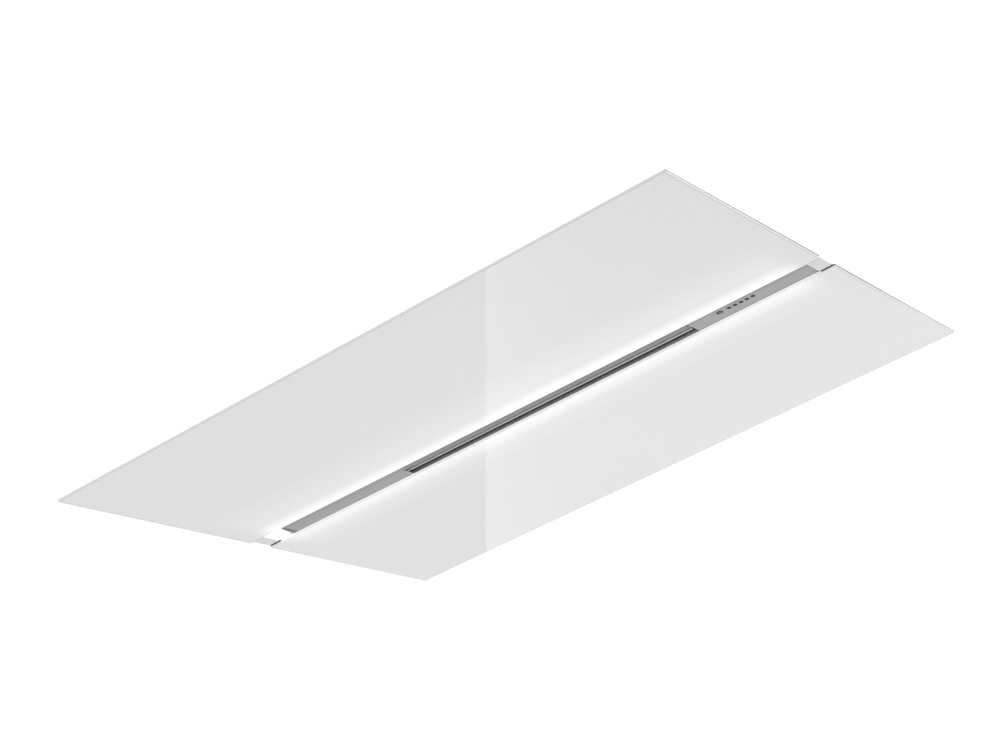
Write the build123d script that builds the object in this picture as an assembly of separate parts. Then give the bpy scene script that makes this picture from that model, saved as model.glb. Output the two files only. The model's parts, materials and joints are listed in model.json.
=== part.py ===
from build123d import *
import math
import os

# ---------------------------------------------------------------------------
# Ceiling range hood, 1000 x 800 mm, 300 mm high. Millimetres.
# Frame: origin at the centre of the visible underside, +X along the slot,
# +Z up into the ceiling. "front" is the -Y side, "back" the +Y side.
# ---------------------------------------------------------------------------

# driving dimensions
LENGTH = 1000.0          # glass, along the slot
WIDTH = 800.0            # glass, across the slot
GLASS_T = 4.0            # glass thickness
SLOT_HALF = 21.0         # half of the gap between the two glass panels
FLANGE_Z = 10.0          # underside of the flange; its gasket meets the ceiling at 13.2
FLANGE_T = 1.2
FLANGE_X, FLANGE_Y = 496.0, 396.0      # half sizes of the flange
TRAY_X, TRAY_Y = 481.0, 381.0          # half sizes of the recessed tray, outside
TRAY_TOP = 110.0
SHEET = 1.0
BOX_HALF = 210.0         # motor box, half side
BOX_TOP = 298.8
TOTAL_H = 300.0
LEDGE_Z = 157.0          # underside of the blower plate
BLOWER_X, BLOWER_Y = -30.0, -62.0      # fan axis
SPIRAL_R0, SPIRAL_R1 = 92.0, 165.0     # scroll radius at the tongue and at the outlet
SCROLL_Z0, SCROLL_Z1 = 158.2, 252.8
WHEEL_R, WHEEL_RI = 80.0, 64.0
WHEEL_Z0, WHEEL_Z1 = 166.0, 245.5
BLADES = 36
SHAFT_R = 4.0
DUCT_R = 74.5            # outside of the 150 mm duct collar
DUCT_WALL = 1.2
DUCT_Y, DUCT_Z = 60.0, 206.0
DUCT_X0, DUCT_X1 = 210.0, 291.5
FLAP_X = 216.0
FLAP_R = 72.6
FLAP_PIN_R = 1.5
HANGER_X, HANGER_Y, HANGER_Z = 440.0, 330.0, 152.0   # threaded rod holes
HANGER_R = 4.5
DECK_Z = 55.0            # underside of the filter deck
FILTER_X = 300.0         # half length of a filter
FILTER_Y0, FILTER_Y1 = 91.0, 343.0
FILTER_Z0 = 45.0
PLATE_Z = 4.5            # underside of the steel strip in the slot
PLATE_HALF = 22.4
RAIL_HALF, RAIL_WALL = 22.4, 1.2
PLATE_X0, PLATE_X1 = -446.0, 478.0
OPEN_X0, OPEN_X1, OPEN_Y0 = -216.0, 287.0, 0.3       # suction opening in the strip
LIP_Y0, LIP_Y1, LIP_TOP = 6.3, 8.6, 11.5             # folded lip of the strip along the opening
POWER_X = 333.0
DOT_X0, DOT_PITCH, DOTS = 348.0, 9.4, 5
POWER_R, DOT_R = 5.0, 2.75
BUTTON_CLEAR = 0.1
HINGE_Y, HINGE_Z = 397.2, 6.6          # panel hinge axis
HINGE_XS = (-400.0, 0.0, 400.0)
HINGE_PIN_R, HINGE_PLAY = 1.25, 0.05
HINGE_RING = 2.45
PAN_X, PAN_Y0, PAN_Y1, PAN_TOP, PAN_T = 476.0, 48.0, 376.0, 14.0, 0.8
LED_Y0, LED_Y1, LED_TOP, LED_X = 23.0, 37.0, 9.0, 470.0
CAP_X0, CAP_X1, CAP_Y = 478.2, 497.0, 17.0
SCREW_R, SCREW_HEAD_R, SCREW_HEAD_H, SCREW_L = 2.0, 3.6, 2.2, 6.0

os.makedirs("parts", exist_ok=True)


def bx(x0, x1, y0, y1, z0, z1):
    return Pos((x0 + x1) / 2, (y0 + y1) / 2, (z0 + z1) / 2) * Box(x1 - x0, y1 - y0, z1 - z0)


def cz(x, y, z0, z1, r):
    return Pos(x, y, (z0 + z1) / 2) * Cylinder(r, z1 - z0)


def cx(x0, x1, y, z, r):
    return Pos((x0 + x1) / 2, y, z) * Rot(0, 90, 0) * Cylinder(r, x1 - x0)


def cy(x, y0, y1, z, r):
    return Pos(x, (y0 + y1) / 2, z) * Rot(90, 0, 0) * Cylinder(r, y1 - y0)


def flip(shape):
    """The same piece on the other side of the slot."""
    return mirror(shape, about=Plane.XZ)


def group(shapes):
    solids = []
    for s in shapes:
        solids += s.solids()
    return Compound(children=solids)


def save(name, shape):
    export_step(shape, "parts/" + name + ".step")


# --- screws: one size everywhere, head on the face at the given point --------
screws = []


def screw(x, y, z, direction):
    """A pan head screw: its head stands on the face at (x, y, z), its shank runs along direction."""
    d = Vector(*direction)
    plane = Plane(origin=(x, y, z), z_dir=(-d.X, -d.Y, -d.Z))
    head = Pos(0, 0, SCREW_HEAD_H / 2) * Cylinder(SCREW_HEAD_R, SCREW_HEAD_H)
    edge = head.edges().group_by(Axis.Z)[-1]
    head = fillet(edge, 0.9)
    head -= Pos(0, 0, SCREW_HEAD_H) * Box(4.2, 0.9, 1.6) + Pos(0, 0, SCREW_HEAD_H) * Box(0.9, 4.2, 1.6)
    shank = Pos(0, 0, -SCREW_L / 2) * Cylinder(SCREW_R, SCREW_L)
    screws.append(plane.location * (head + shank))


def hole(x, y, z, direction):
    d = Vector(*direction)
    plane = Plane(origin=(x, y, z), z_dir=(-d.X, -d.Y, -d.Z))
    return plane.location * Pos(0, 0, -SCREW_L / 2) * Cylinder(SCREW_R, SCREW_L + 2)


BRACKET_SCREWS = [(sx * HANGER_X + dx, sy * HANGER_Y, 112.0) for sx in (-1, 1) for sy in (-1, 1) for dx in (-16, 16)]
FLANGE_SCREWS = [(220.0 * s, v, 111.2) for s in (-1, 1) for v in (-150, 0, 150)] + [
    (v, 220.0 * s, 111.2) for s in (-1, 1) for v in (-150, 0, 150)
]
LID_SCREWS = [((211.2 * s, v, 294.0), (-s, 0, 0)) for s in (-1, 1) for v in (-120, 120)] + [
    ((v, 211.2 * s, 294.0), (0, -s, 0)) for s in (-1, 1) for v in (-120, 120)
]
COLLAR_SCREWS = [((211.5, DUCT_Y + a, DUCT_Z + b), (-1, 0, 0)) for a in (-70, 70) for b in (-70, 70)]
DECK_SCREWS = [((479.0 * s, v, 61.0), (s, 0, 0)) for s in (-1, 1) for v in (-240, 0, 240)] + [
    ((v, 379.0 * s, 61.0), (0, s, 0)) for s in (-1, 1) for v in (-300, 0, 300)
]
RAIL_SCREWS = [((x, 30.0 * s, 53.8), (0, 0, 1)) for x in (-420.0, -240.0, 310.0, 460.0) for s in (-1, 1)]
ELEC_SCREWS = [((x, y, 153.0), (0, 0, -1)) for x in (-392.0, -258.0) for y in (-62.0, 62.0)]
MOTOR_SCREWS = [
    ((BLOWER_X + 44 * math.cos(a), BLOWER_Y + 44 * math.sin(a), SCROLL_Z1), (0, 0, 1))
    for a in (math.radians(45 + 90 * k) for k in range(4))
]


# --- recessed tray: folded sheet box, open below, flange against the ceiling --
# strips, walls and flange are welded edge to edge round the square opening for the motor box
tray_sheets = []
for s in (-1, 1):
    y0, y1 = sorted((s * 200, s * TRAY_Y))
    x0, x1 = sorted((s * 200, s * TRAY_X))
    tray_sheets.append(bx(-TRAY_X, TRAY_X, y0, y1, TRAY_TOP - SHEET, TRAY_TOP))
    tray_sheets.append(bx(x0, x1, -200, 200, TRAY_TOP - SHEET, TRAY_TOP))
    y0, y1 = sorted((s * (TRAY_Y - SHEET), s * TRAY_Y))
    x0, x1 = sorted((s * (TRAY_X - SHEET), s * TRAY_X))
    tray_sheets.append(bx(-TRAY_X, TRAY_X, y0, y1, FLANGE_Z, TRAY_TOP - SHEET))
    tray_sheets.append(bx(x0, x1, -TRAY_Y + SHEET, TRAY_Y - SHEET, FLANGE_Z, TRAY_TOP - SHEET))
    y0, y1 = sorted((s * TRAY_Y, s * FLANGE_Y))
    x0, x1 = sorted((s * TRAY_X, s * FLANGE_X))
    tray_sheets.append(bx(-FLANGE_X, FLANGE_X, y0, y1, FLANGE_Z, FLANGE_Z + FLANGE_T))
    tray_sheets.append(bx(x0, x1, -TRAY_Y, TRAY_Y, FLANGE_Z, FLANGE_Z + FLANGE_T))
for p in BRACKET_SCREWS + FLANGE_SCREWS:
    for k in range(len(tray_sheets)):
        box_k = tray_sheets[k].bounding_box()
        if box_k.min.Z > 100 and box_k.min.X < p[0] < box_k.max.X and box_k.min.Y < p[1] < box_k.max.Y:
            tray_sheets[k] -= hole(*p, (0, 0, -1))
for p, d in DECK_SCREWS:
    for k in range(len(tray_sheets)):
        box_k = tray_sheets[k].bounding_box()
        if box_k.min.Z < p[2] < box_k.max.Z and (
            (d[0] and box_k.min.X < p[0] + 1.5 * d[0] < box_k.max.X) or (d[1] and box_k.min.Y < p[1] + 1.5 * d[1] < box_k.max.Y and box_k.max.Y - box_k.min.Y < 2)
        ):
            tray_sheets[k] -= hole(*p, d)
save("recess_tray", group(tray_sheets))

gasket = bx(-495, 495, -395, 395, FLANGE_Z + FLANGE_T, 13.2) - bx(-483, 483, -383, 383, 10, 15)
save("flange_gasket", gasket)

# --- filter deck: plate across the tray with two filter windows ---------------
deck = bx(-480, 480, -380, 380, DECK_Z, 66) - bx(-479, 479, -379, 379, DECK_Z + 1, 70)
for s in (-1, 1):
    deck -= bx(-292, 292, min(s * 99, s * 333), max(s * 99, s * 333), DECK_Z - 1, DECK_Z + 2)
for p, d in DECK_SCREWS + RAIL_SCREWS:
    deck -= hole(*p, d)
save("filter_deck", deck)

# --- motor box and lid ----------------------------------------------------------
box = bx(-BOX_HALF, BOX_HALF, -BOX_HALF, BOX_HALF, TRAY_TOP, BOX_TOP)
box += bx(-230, 230, -230, 230, TRAY_TOP, TRAY_TOP + 1.2)
box -= bx(-209, 209, -209, 209, TRAY_TOP - 1, BOX_TOP + 1)
box += bx(-209, 209, -209, 209, LEDGE_Z - 1, LEDGE_Z) - bx(-197, 197, -197, 197, LEDGE_Z - 2, LEDGE_Z + 1)
box -= bx(205, 215, 17.7, 103.0, SCROLL_Z0 + 1, SCROLL_Z1)
for p in FLANGE_SCREWS:
    box -= hole(*p, (0, 0, -1))
for p, d in LID_SCREWS + COLLAR_SCREWS:
    box -= hole(*p, d)
save("motor_box", box)

lid = bx(-211.2, 211.2, -211.2, 211.2, 289, TOTAL_H) - bx(-210.2, 210.2, -210.2, 210.2, 280, BOX_TOP)
for p, d in LID_SCREWS:
    lid -= hole(*p, d)
# pressed stiffening beads across the lid, kept inside its thickness
for y in (-120, -40, 40, 120):
    lid -= bx(-160, 160, y - 5, y + 5, TOTAL_H - 0.4, TOTAL_H + 1)
save("motor_box_lid", lid)

# --- hanger brackets for the four threaded rods ----------------------------------
brackets = []
for sx in (-1, 1):
    for sy in (-1, 1):
        b = bx(-25, 25, -20, 20, 110, 112)
        b += bx(-25, 25, 18, 20, 112, 150)
        b += bx(-25, 25, -16, 20, 150, HANGER_Z)
        rib = Polyline((18, 112), (18, 150), (-6, 150), (18, 112))
        web = extrude(make_face(Plane.YZ * rib), 1.0, both=True)
        b += Pos(24, 0, 0) * web + Pos(-24, 0, 0) * web
        b -= cz(0, 0, 149, 153, HANGER_R)
        b = mirror(b, about=Plane.XZ) if sy < 0 else b
        b = Pos(sx * HANGER_X, sy * HANGER_Y, 0) * b
        for p in BRACKET_SCREWS:
            if abs(p[0] - sx * HANGER_X) < 20 and p[1] * sy > 0:
                b -= hole(*p, (0, 0, -1))
        brackets.append(b)
save("hanger_brackets", group(brackets))

# --- blower -----------------------------------------------------------------------
def scroll_face(offset, foot=0.0):
    """Scroll outline round the fan axis, with a straight outlet towards +X, grown by offset."""
    g = offset + foot
    r0, r1 = SPIRAL_R0 + g, SPIRAL_R1 + g
    y0 = SPIRAL_R0 * math.sin(math.radians(60)) - g
    start = math.degrees(math.asin(y0 / r0))
    sweep = start + 270.0
    pts = []
    n = 22
    for k in range(n + 1):
        a = sweep * k / n
        r = r0 + (r1 - r0) * a / sweep
        t = math.radians(start - a)
        pts.append((r * math.cos(t), r * math.sin(t)))
    xe = 208.8 - BLOWER_X
    curve = Spline(*pts)
    rest = Polyline(pts[-1], (xe, r1), (xe, y0), pts[0])
    return make_face(curve + rest)


inner = scroll_face(0.0)
outer = scroll_face(1.2)
foot = scroll_face(1.2, 12.0)
at = Pos(BLOWER_X, BLOWER_Y, SCROLL_Z0)
volute = at * extrude(outer, SCROLL_Z1 + 1.2 - SCROLL_Z0)
volute += at * extrude(foot, 1.0)
volute -= at * Pos(0, 0, -1) * extrude(inner, SCROLL_Z1 - SCROLL_Z0 + 1)
volute -= cz(BLOWER_X, BLOWER_Y, SCROLL_Z1 - 1, SCROLL_Z1 + 3, 30)
VOLUTE_SCREWS = [
    ((BLOWER_X + r * math.cos(math.radians(t)), BLOWER_Y + r * math.sin(math.radians(t)), SCROLL_Z0 + 1.0), (0, 0, -1))
    for t, r in ((20.0, 109.5), (-60.0, 126.0), (-130.0, 141.0), (-200.0, 157.0))
]
for p, d in MOTOR_SCREWS + VOLUTE_SCREWS:
    volute -= hole(*p, d)
save("volute_housing", volute)

plate = bx(-208.5, 208.5, -208.5, 208.5, LEDGE_Z, SCROLL_Z0) - cz(BLOWER_X, BLOWER_Y, 150, 165, 64)
for p, d in VOLUTE_SCREWS:
    plate -= hole(*p, d)
save("blower_plate", plate)

ring_profile = Polyline(
    (78, 155.8), (78, 157), (63.4, 157), (60.2, 159.6), (58.6, 164), (57.4, 164), (58.8, 158.8), (62.4, 155.8), (78, 155.8)
)
inlet = revolve(make_face(Plane.XZ * ring_profile), Axis.Z)
save("inlet_ring", Pos(BLOWER_X, BLOWER_Y, 0) * inlet)

wheel = Pos(0, 0, (WHEEL_Z0 + WHEEL_Z0 + 1.5) / 2) * (Cylinder(WHEEL_R, 1.5) - Cylinder(WHEEL_RI, 3))
wheel += Pos(0, 0, WHEEL_Z1 - 0.75) * Cylinder(WHEEL_R, 1.5)
wheel += Pos(0, 0, (WHEEL_Z1 - 24 + WHEEL_Z1) / 2) * Cylinder(14, 24)
blade_arc = ThreePointArc((WHEEL_RI + 0.5, 0), (72.5, 1.4), (WHEEL_R - 0.4, 6.0))
blade_back = ThreePointArc((WHEEL_RI + 0.5, 1.1), (72.2, 2.5), (WHEEL_R - 0.4 - 0.7, 7.0))
blade_face = make_face(
    blade_arc + Line(blade_arc @ 1, blade_back @ 1) + blade_back + Line(blade_back @ 0, blade_arc @ 0)
)
blade = Pos(0, 0, WHEEL_Z0 + 1.0) * extrude(blade_face, WHEEL_Z1 - 1.0 - WHEEL_Z0 - 1.0)
wheel = wheel.fuse(*[Rot(0, 0, 360.0 / BLADES * k) * blade for k in range(BLADES)])
wheel -= Cylinder(SHAFT_R, 1000)
save("impeller", Pos(BLOWER_X, BLOWER_Y, 0) * wheel)

shaft = cz(BLOWER_X, BLOWER_Y, 219.5, 286.5, SHAFT_R) - bx(BLOWER_X + 3.4, BLOWER_X + 5, BLOWER_Y - 5, BLOWER_Y + 5, 200, 220.5)
nut = Pos(BLOWER_X, BLOWER_Y, 217.25) * extrude(RegularPolygon(7.0, 6), 4.0, both=False)
shaft += nut
save("motor_shaft", shaft)

can = Pos(0, 0, 275) * Cylinder(55, 34)
can = fillet(can.edges().group_by(Axis.Z)[-1], 4)
can -= Pos(0, 0, 261.5) * Cylinder(11, 7) + Pos(0, 0, 283.5) * Cylinder(11, 7) + Pos(0, 0, 275) * Cylinder(4.6, 26)
for k in range(12):
    a = math.radians(30 * k)
    can -= Pos(46 * math.cos(a), 46 * math.sin(a), 291) * Cylinder(3.2, 3)
can = Pos(BLOWER_X, BLOWER_Y, 0) * can
for p, d in MOTOR_SCREWS:
    can -= hole(*p, d)
save("motor_can", can)
bearing = Cylinder(11, 7) - Cylinder(SHAFT_R + 0.05, 9)
save(
    "motor_bearings",
    group([Pos(BLOWER_X, BLOWER_Y, 261.5) * bearing, Pos(BLOWER_X, BLOWER_Y, 283.5) * bearing]),
)
mounts = []
for p, d in MOTOR_SCREWS:
    bush = Pos(p[0], p[1], 256) * (Cylinder(7, 4) - Cylinder(SCREW_R, 6))
    mounts.append(bush)
save("motor_mounts", group(mounts))

# --- duct collar with two non-return flaps on one upright pin -----------------------
collar = bx(DUCT_X0, DUCT_X0 + 1.5, DUCT_Y - 80, DUCT_Y + 80, DUCT_Z - 80, DUCT_Z + 80)
collar = fillet(collar.edges().filter_by(Axis.X), 6)
collar += cx(DUCT_X0, DUCT_X1, DUCT_Y, DUCT_Z, DUCT_R)
collar -= cx(DUCT_X0 - 1, DUCT_X1 + 1, DUCT_Y, DUCT_Z, DUCT_R - DUCT_WALL)
collar -= cz(FLAP_X, DUCT_Y, DUCT_Z - 90, DUCT_Z + 90, FLAP_PIN_R)
for p, d in COLLAR_SCREWS:
    collar -= hole(*p, d)
save("duct_collar", collar)
save("flap_pin", cz(FLAP_X, DUCT_Y, DUCT_Z - 74, DUCT_Z + 74, FLAP_PIN_R))


def flap(side, knuckles):
    disc = cx(FLAP_X - 0.5, FLAP_X + 0.5, DUCT_Y, DUCT_Z, FLAP_R)
    keep = bx(FLAP_X - 5, FLAP_X + 5, DUCT_Y + 4, DUCT_Y + 90, DUCT_Z - 90, DUCT_Z + 90)
    f = disc & keep
    for a, b in knuckles:
        f += bx(FLAP_X - 0.5, FLAP_X + 0.5, DUCT_Y + 1.8, DUCT_Y + 6, DUCT_Z + a, DUCT_Z + b)
        f += cz(FLAP_X, DUCT_Y, DUCT_Z + a, DUCT_Z + b, 3.0)
    # pressed rib
    f += bx(FLAP_X + 0.5, FLAP_X + 1.3, DUCT_Y + 12, DUCT_Y + 60, DUCT_Z - 1.5, DUCT_Z + 1.5)
    f -= cz(FLAP_X, DUCT_Y, DUCT_Z - 90, DUCT_Z + 90, FLAP_PIN_R + 0.05)
    if side < 0:
        f = mirror(f, about=Plane(origin=(0, DUCT_Y, 0), z_dir=(0, 1, 0)))
    return f


save("flap_back", flap(1, [(-60, -40), (10, 30)]))
save("flap_front", flap(-1, [(-35, -15), (35, 55)]))

# --- electrics on top of the tray -----------------------------------------------------
elec = bx(-400, -250, -70, 70, 110, 150) - bx(-398, -252, -68, 68, 112, 151)
for p, d in ELEC_SCREWS:
    elec += cz(p[0], p[1], 111, 150, 5)
elec -= cx(-404, -396, 0, 131, 10)
for p, d in ELEC_SCREWS:
    elec -= hole(*p, d)
save("electronics_box", elec)
elid = bx(-401, -249, -71, 71, 150, 153)
elid = fillet(elid.edges().filter_by(Axis.Z), 3)
for p, d in ELEC_SCREWS:
    elid -= hole(*p, d)
save("electronics_lid", elid)
board = bx(-372, -266, -50, 50, 118, 119.6)
for x0, x1, y0, y1, h in (
    (-300, -270, 12, 44, 22),
    (-300, -280, -20, 0, 16),
    (-330, -312, -40, -22, 14),
    (-345, -330, 20, 35, 12),
    (-320, -308, 25, 37, 18),
):
    board += bx(x0, x1, y0, y1, 119.6, 119.6 + h)
for x, y in ((-366, -44), (-366, 44), (-272, -44), (-272, 48)):
    board += cz(x, y, 112, 118, 2.5)
save("control_board", board)
term = bx(-392, -376, -28, 28, 112, 126)
for k in range(5):
    term -= cz(-384, -22 + 11 * k, 120, 127, 3.2)
    term -= cx(-380, -375, -22 + 11 * k, 118, 2.6)
save("terminal_block", term)
gland = cx(-404, -394, 0, 131, 9.9) + cx(-406, -400, 0, 131, 13) + cx(-420, -406, 0, 131, 11) + cx(-398, -393, 0, 131, 12.5)
gland -= cx(-425, -390, 0, 131, 5.0)
save("cable_gland", gland)
driver = bx(300, 430, -145, -95, 110, 132)
driver = fillet(driver.edges().filter_by(Axis.Z), 3)
driver += bx(292, 300, -135, -105, 110, 112) + bx(430, 438, -135, -105, 110, 112)
save("led_driver", driver)

# --- centre rail: sheet beam that carries the strip, from the deck ----------------------
RAIL_IN = RAIL_HALF - RAIL_WALL
rail = bx(-440, OPEN_X0 - 2, -RAIL_HALF, RAIL_HALF, 5.5, DECK_Z) - bx(-441, OPEN_X0 + 5, -RAIL_IN, RAIL_IN, 6.7, DECK_Z + 1)
rail += bx(OPEN_X1 + 2, PLATE_X1, -RAIL_HALF, RAIL_HALF, 5.5, DECK_Z) - bx(
    OPEN_X1 - 5, PLATE_X1 + 1, -RAIL_IN, RAIL_IN, 6.7, DECK_Z + 1
)
rail += bx(OPEN_X0 - 3, OPEN_X1 + 3, -RAIL_HALF, -1.5, 5.5, 6.7)
rail += bx(OPEN_X0 - 3, OPEN_X1 + 3, -RAIL_HALF, -RAIL_IN, 5.5, 18)
rail += bx(OPEN_X0 - 3, OPEN_X1 + 3, -2.7, -1.5, 5.5, 12)
for x0, x1 in ((-440, OPEN_X0 - 2), (OPEN_X1 + 2, PLATE_X1)):
    for s in (-1, 1):
        rail += bx(x0, x1, min(s * RAIL_IN, s * 36), max(s * RAIL_IN, s * 36), 53.8, DECK_Z)
# side webs run on over the lit end window
for s in (-1, 1):
    rail += bx(-477.8, -438, min(s * RAIL_IN, s * RAIL_HALF), max(s * RAIL_IN, s * RAIL_HALF), 9.2, DECK_Z)
rail -= cz(POWER_X, 0, 4, 8, POWER_R + 0.4)
for k in range(DOTS):
    rail -= cz(DOT_X0 + k * DOT_PITCH, 0, 4, 8, DOT_R + 0.4)
for p, d in RAIL_SCREWS:
    rail -= hole(*p, d)
save("centre_rail", rail)

# --- stainless strip with the suction opening, the buttons' holes and a bent end tab ------
# three lengths butt together: the far plate, the bar beside the opening, the plate with the buttons
strip = bx(PLATE_X0, OPEN_X0, -PLATE_HALF, PLATE_HALF, PLATE_Z, PLATE_Z + 1)
near = bx(OPEN_X1, PLATE_X1, -PLATE_HALF, PLATE_HALF, PLATE_Z, PLATE_Z + 1)
near -= cz(POWER_X, 0, 3, 7, POWER_R + BUTTON_CLEAR)
for k in range(DOTS):
    near -= cz(DOT_X0 + k * DOT_PITCH, 0, 3, 7, DOT_R + BUTTON_CLEAR)
bar = bx(OPEN_X0, OPEN_X1, -PLATE_HALF, OPEN_Y0, PLATE_Z, PLATE_Z + 1)
tab_side = Polyline((PLATE_X0 + 0.01, PLATE_Z), (PLATE_X0 + 0.01, PLATE_Z + 1), (PLATE_X0 - 12, PLATE_Z + 2.9), (PLATE_X0 - 12, PLATE_Z + 1.9), (PLATE_X0 + 0.01, PLATE_Z))
tab = extrude(make_face(Plane.XZ * tab_side), PLATE_HALF, both=True)
tab_plan = Polyline((PLATE_X0 + 1, -14), (PLATE_X0 + 1, PLATE_HALF), (PLATE_X0 - 11, PLATE_HALF), (PLATE_X0 + 1, -14))
strip += tab & extrude(make_face(tab_plan), 20)
# the edge along the opening: folded up, back over and down again to a hemmed lip
LIP_X0, LIP_X1 = OPEN_X0, OPEN_X1 - 2.5
bar += bx(LIP_X0, LIP_X1, OPEN_Y0 - 1, OPEN_Y0, PLATE_Z, LIP_TOP)
bar += bx(LIP_X0, LIP_X1, OPEN_Y0 - 1, LIP_Y0 + 1, LIP_TOP - 1, LIP_TOP)
bar += bx(LIP_X0, LIP_X1, LIP_Y0, LIP_Y0 + 1, PLATE_Z + 0.4, LIP_TOP)
hem = bx(LIP_X0, LIP_X1, LIP_Y0, LIP_Y1, PLATE_Z + 0.4, PLATE_Z + 3.4)
hem -= bx(LIP_X0 - 1, LIP_X1 + 1, LIP_Y0 + 1, LIP_Y1 - 1, PLATE_Z + 1.4, PLATE_Z + 5)
bar += fillet(hem.edges().filter_by(Axis.X).group_by(Axis.Z)[0], 0.45)
save("strip_plate", group([strip, bar, near]))

# --- end caps that close the slot --------------------------------------------------------
cap = bx(CAP_X0, CAP_X1, -CAP_Y, CAP_Y, 1.5, 9.8)
cap = fillet(cap.edges().group_by(Axis.Z)[0], 0.8)
cap -= bx(CAP_X0 + 2, CAP_X1 - 2, -CAP_Y + 2, CAP_Y - 2, 3.5, 11)
cap += bx(CAP_X0, 480.0, -12, 12, 5, 30)
save("end_caps", group([cap, mirror(cap, about=Plane.YZ)]))
save("end_diffuser", bx(-477.4, -447.5, -RAIL_HALF, RAIL_HALF, 7.7, 9.2))
lamp = bx(-476, -449, -RAIL_IN, RAIL_IN, 14, 15.2)
for y in (-16, 0, 16):
    lamp += bx(-464.5, -460.5, y - 2, y + 2, 13.2, 14)
save("end_led_board", lamp)

# --- buttons -------------------------------------------------------------------------------
def button(x, r, lip):
    b = cz(x, 0, 4.2, 8.5, r)
    b = fillet(b.edges().group_by(Axis.Z)[0], 0.25)
    b += cz(x, 0, 6.95, 7.9, lip)
    return b


power = button(POWER_X, POWER_R, 6.2)
ring = Pos(POWER_X, 0, 4.2) * (Cylinder(3.3, 0.5) - Cylinder(2.6, 1.0))
ring -= bx(POWER_X - 0.9, POWER_X + 0.9, 0.5, 4, 3, 5)
power -= ring + bx(POWER_X - 0.3, POWER_X + 0.3, 0.9, 3.2, 3.9, 4.45)
save("power_button", power)
for k in range(DOTS):
    save(f"button_{k + 1}", button(DOT_X0 + k * DOT_PITCH, DOT_R, 3.8))
bb = bx(322, 396, -12, 12, 12, 13.6)
for x in [POWER_X] + [DOT_X0 + k * DOT_PITCH for k in range(DOTS)]:
    bb += bx(x - 2.2, x + 2.2, -2.2, 2.2, 9.2, 12.0)
for x in (325.0, 393.0):
    for y in (-9.0, 9.0):
        bb += cz(x, y, 6.7, 12.0, 2.0)
save("button_board", bb)

# --- filters, their supports and latches ------------------------------------------------------
LATCH_X = 276.0


def filter_frame():
    f = bx(-FILTER_X, FILTER_X, FILTER_Y0, FILTER_Y1, FILTER_Z0, DECK_Z)
    f -= bx(-FILTER_X + 1.2, FILTER_X - 1.2, FILTER_Y0 + 1.2, FILTER_Y1 - 1.2, FILTER_Z0 + 1.2, DECK_Z - 1.2)
    f -= bx(-FILTER_X + 3, FILTER_X - 3, FILTER_Y0 + 3, FILTER_Y1 - 3, FILTER_Z0 - 1, DECK_Z + 1)
    # window for the latch nose and the guide under it
    f -= bx(LATCH_X - 13, LATCH_X + 13, FILTER_Y0 - 1, FILTER_Y0 + 2, 48.7, 52.3)
    f += bx(LATCH_X - 16, LATCH_X + 16, FILTER_Y0 + 1.2, FILTER_Y0 + 6, FILTER_Z0 + 1.2, 48.7)
    # fixed tongue at the other end
    f += bx(-LATCH_X - 12, -LATCH_X + 12, 83, FILTER_Y0 + 1.2, 49, 52)
    return f


def filter_mesh():
    m = bx(-298.8, 298.8, FILTER_Y0 + 1.2, FILTER_Y1 - 1.2, 48.75, 50.25)
    m -= bx(LATCH_X - 18, LATCH_X + 18, FILTER_Y0, FILTER_Y0 + 33, 45, 56)
    return m


def latch():
    l = bx(LATCH_X - 12, LATCH_X + 12, 83, 108, 49, 52)
    l = chamfer(l.edges().filter_by(Axis.X).sort_by(Axis.Y)[:1], 1.0)
    l += bx(LATCH_X - 8, LATCH_X + 8, 100, 105, 40, 49)
    return l


def supports():
    # the outer ledge leaves room to push the filter back until its tongue comes off
    out = [bx(-290, 290, 350.4, 351.6, 43.8, DECK_Z) + bx(-290, 290, 336, 351.6, 43.8, FILTER_Z0)]
    for x in (-LATCH_X, LATCH_X):
        out.append(bx(x - 14, x + 14, 79, 80.2, 46, DECK_Z) + bx(x - 14, x + 14, 79, 88.5, 46, 48.4))
    return out


save("filter_frame_back", filter_frame())
save("filter_frame_front", flip(filter_frame()))
save("filter_mesh_back", filter_mesh())
save("filter_mesh_front", flip(filter_mesh()))
save("filter_latch_back", latch())
save("filter_latch_front", flip(latch()))
save("filter_supports", group(supports() + [flip(s) for s in supports()]))

# --- magnetic catches for the panels ------------------------------------------------------------
catch, magnets = [], []
for s in (-1, 1):
    for x in (-350.0, 350.0):
        c = bx(x - 12, x + 12, RAIL_HALF, 64, 22, 23.2) + bx(x - 12, x + 12, RAIL_HALF, RAIL_HALF + 1.2, 22, 40)
        m = bx(x - 10, x + 10, 47, 63, 14.3, 22)
        m = chamfer(m.edges().group_by(Axis.Z)[0], 0.8)
        catch.append(c if s > 0 else flip(c))
        magnets.append(m if s > 0 else flip(m))
save("catch_brackets", group(catch))
save("catch_magnets", group(magnets))

# --- the two glass panels, each on a steel pan with its light and hinges ---------------------------
def glass():
    g = bx(-LENGTH / 2, LENGTH / 2, SLOT_HALF, WIDTH / 2, 0, GLASS_T)
    g = fillet(g.edges().filter_by(Axis.Z), 1.5)
    return chamfer(g.edges().group_by(Axis.Z)[0] + g.edges().group_by(Axis.Z)[-1], 0.4)


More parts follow.
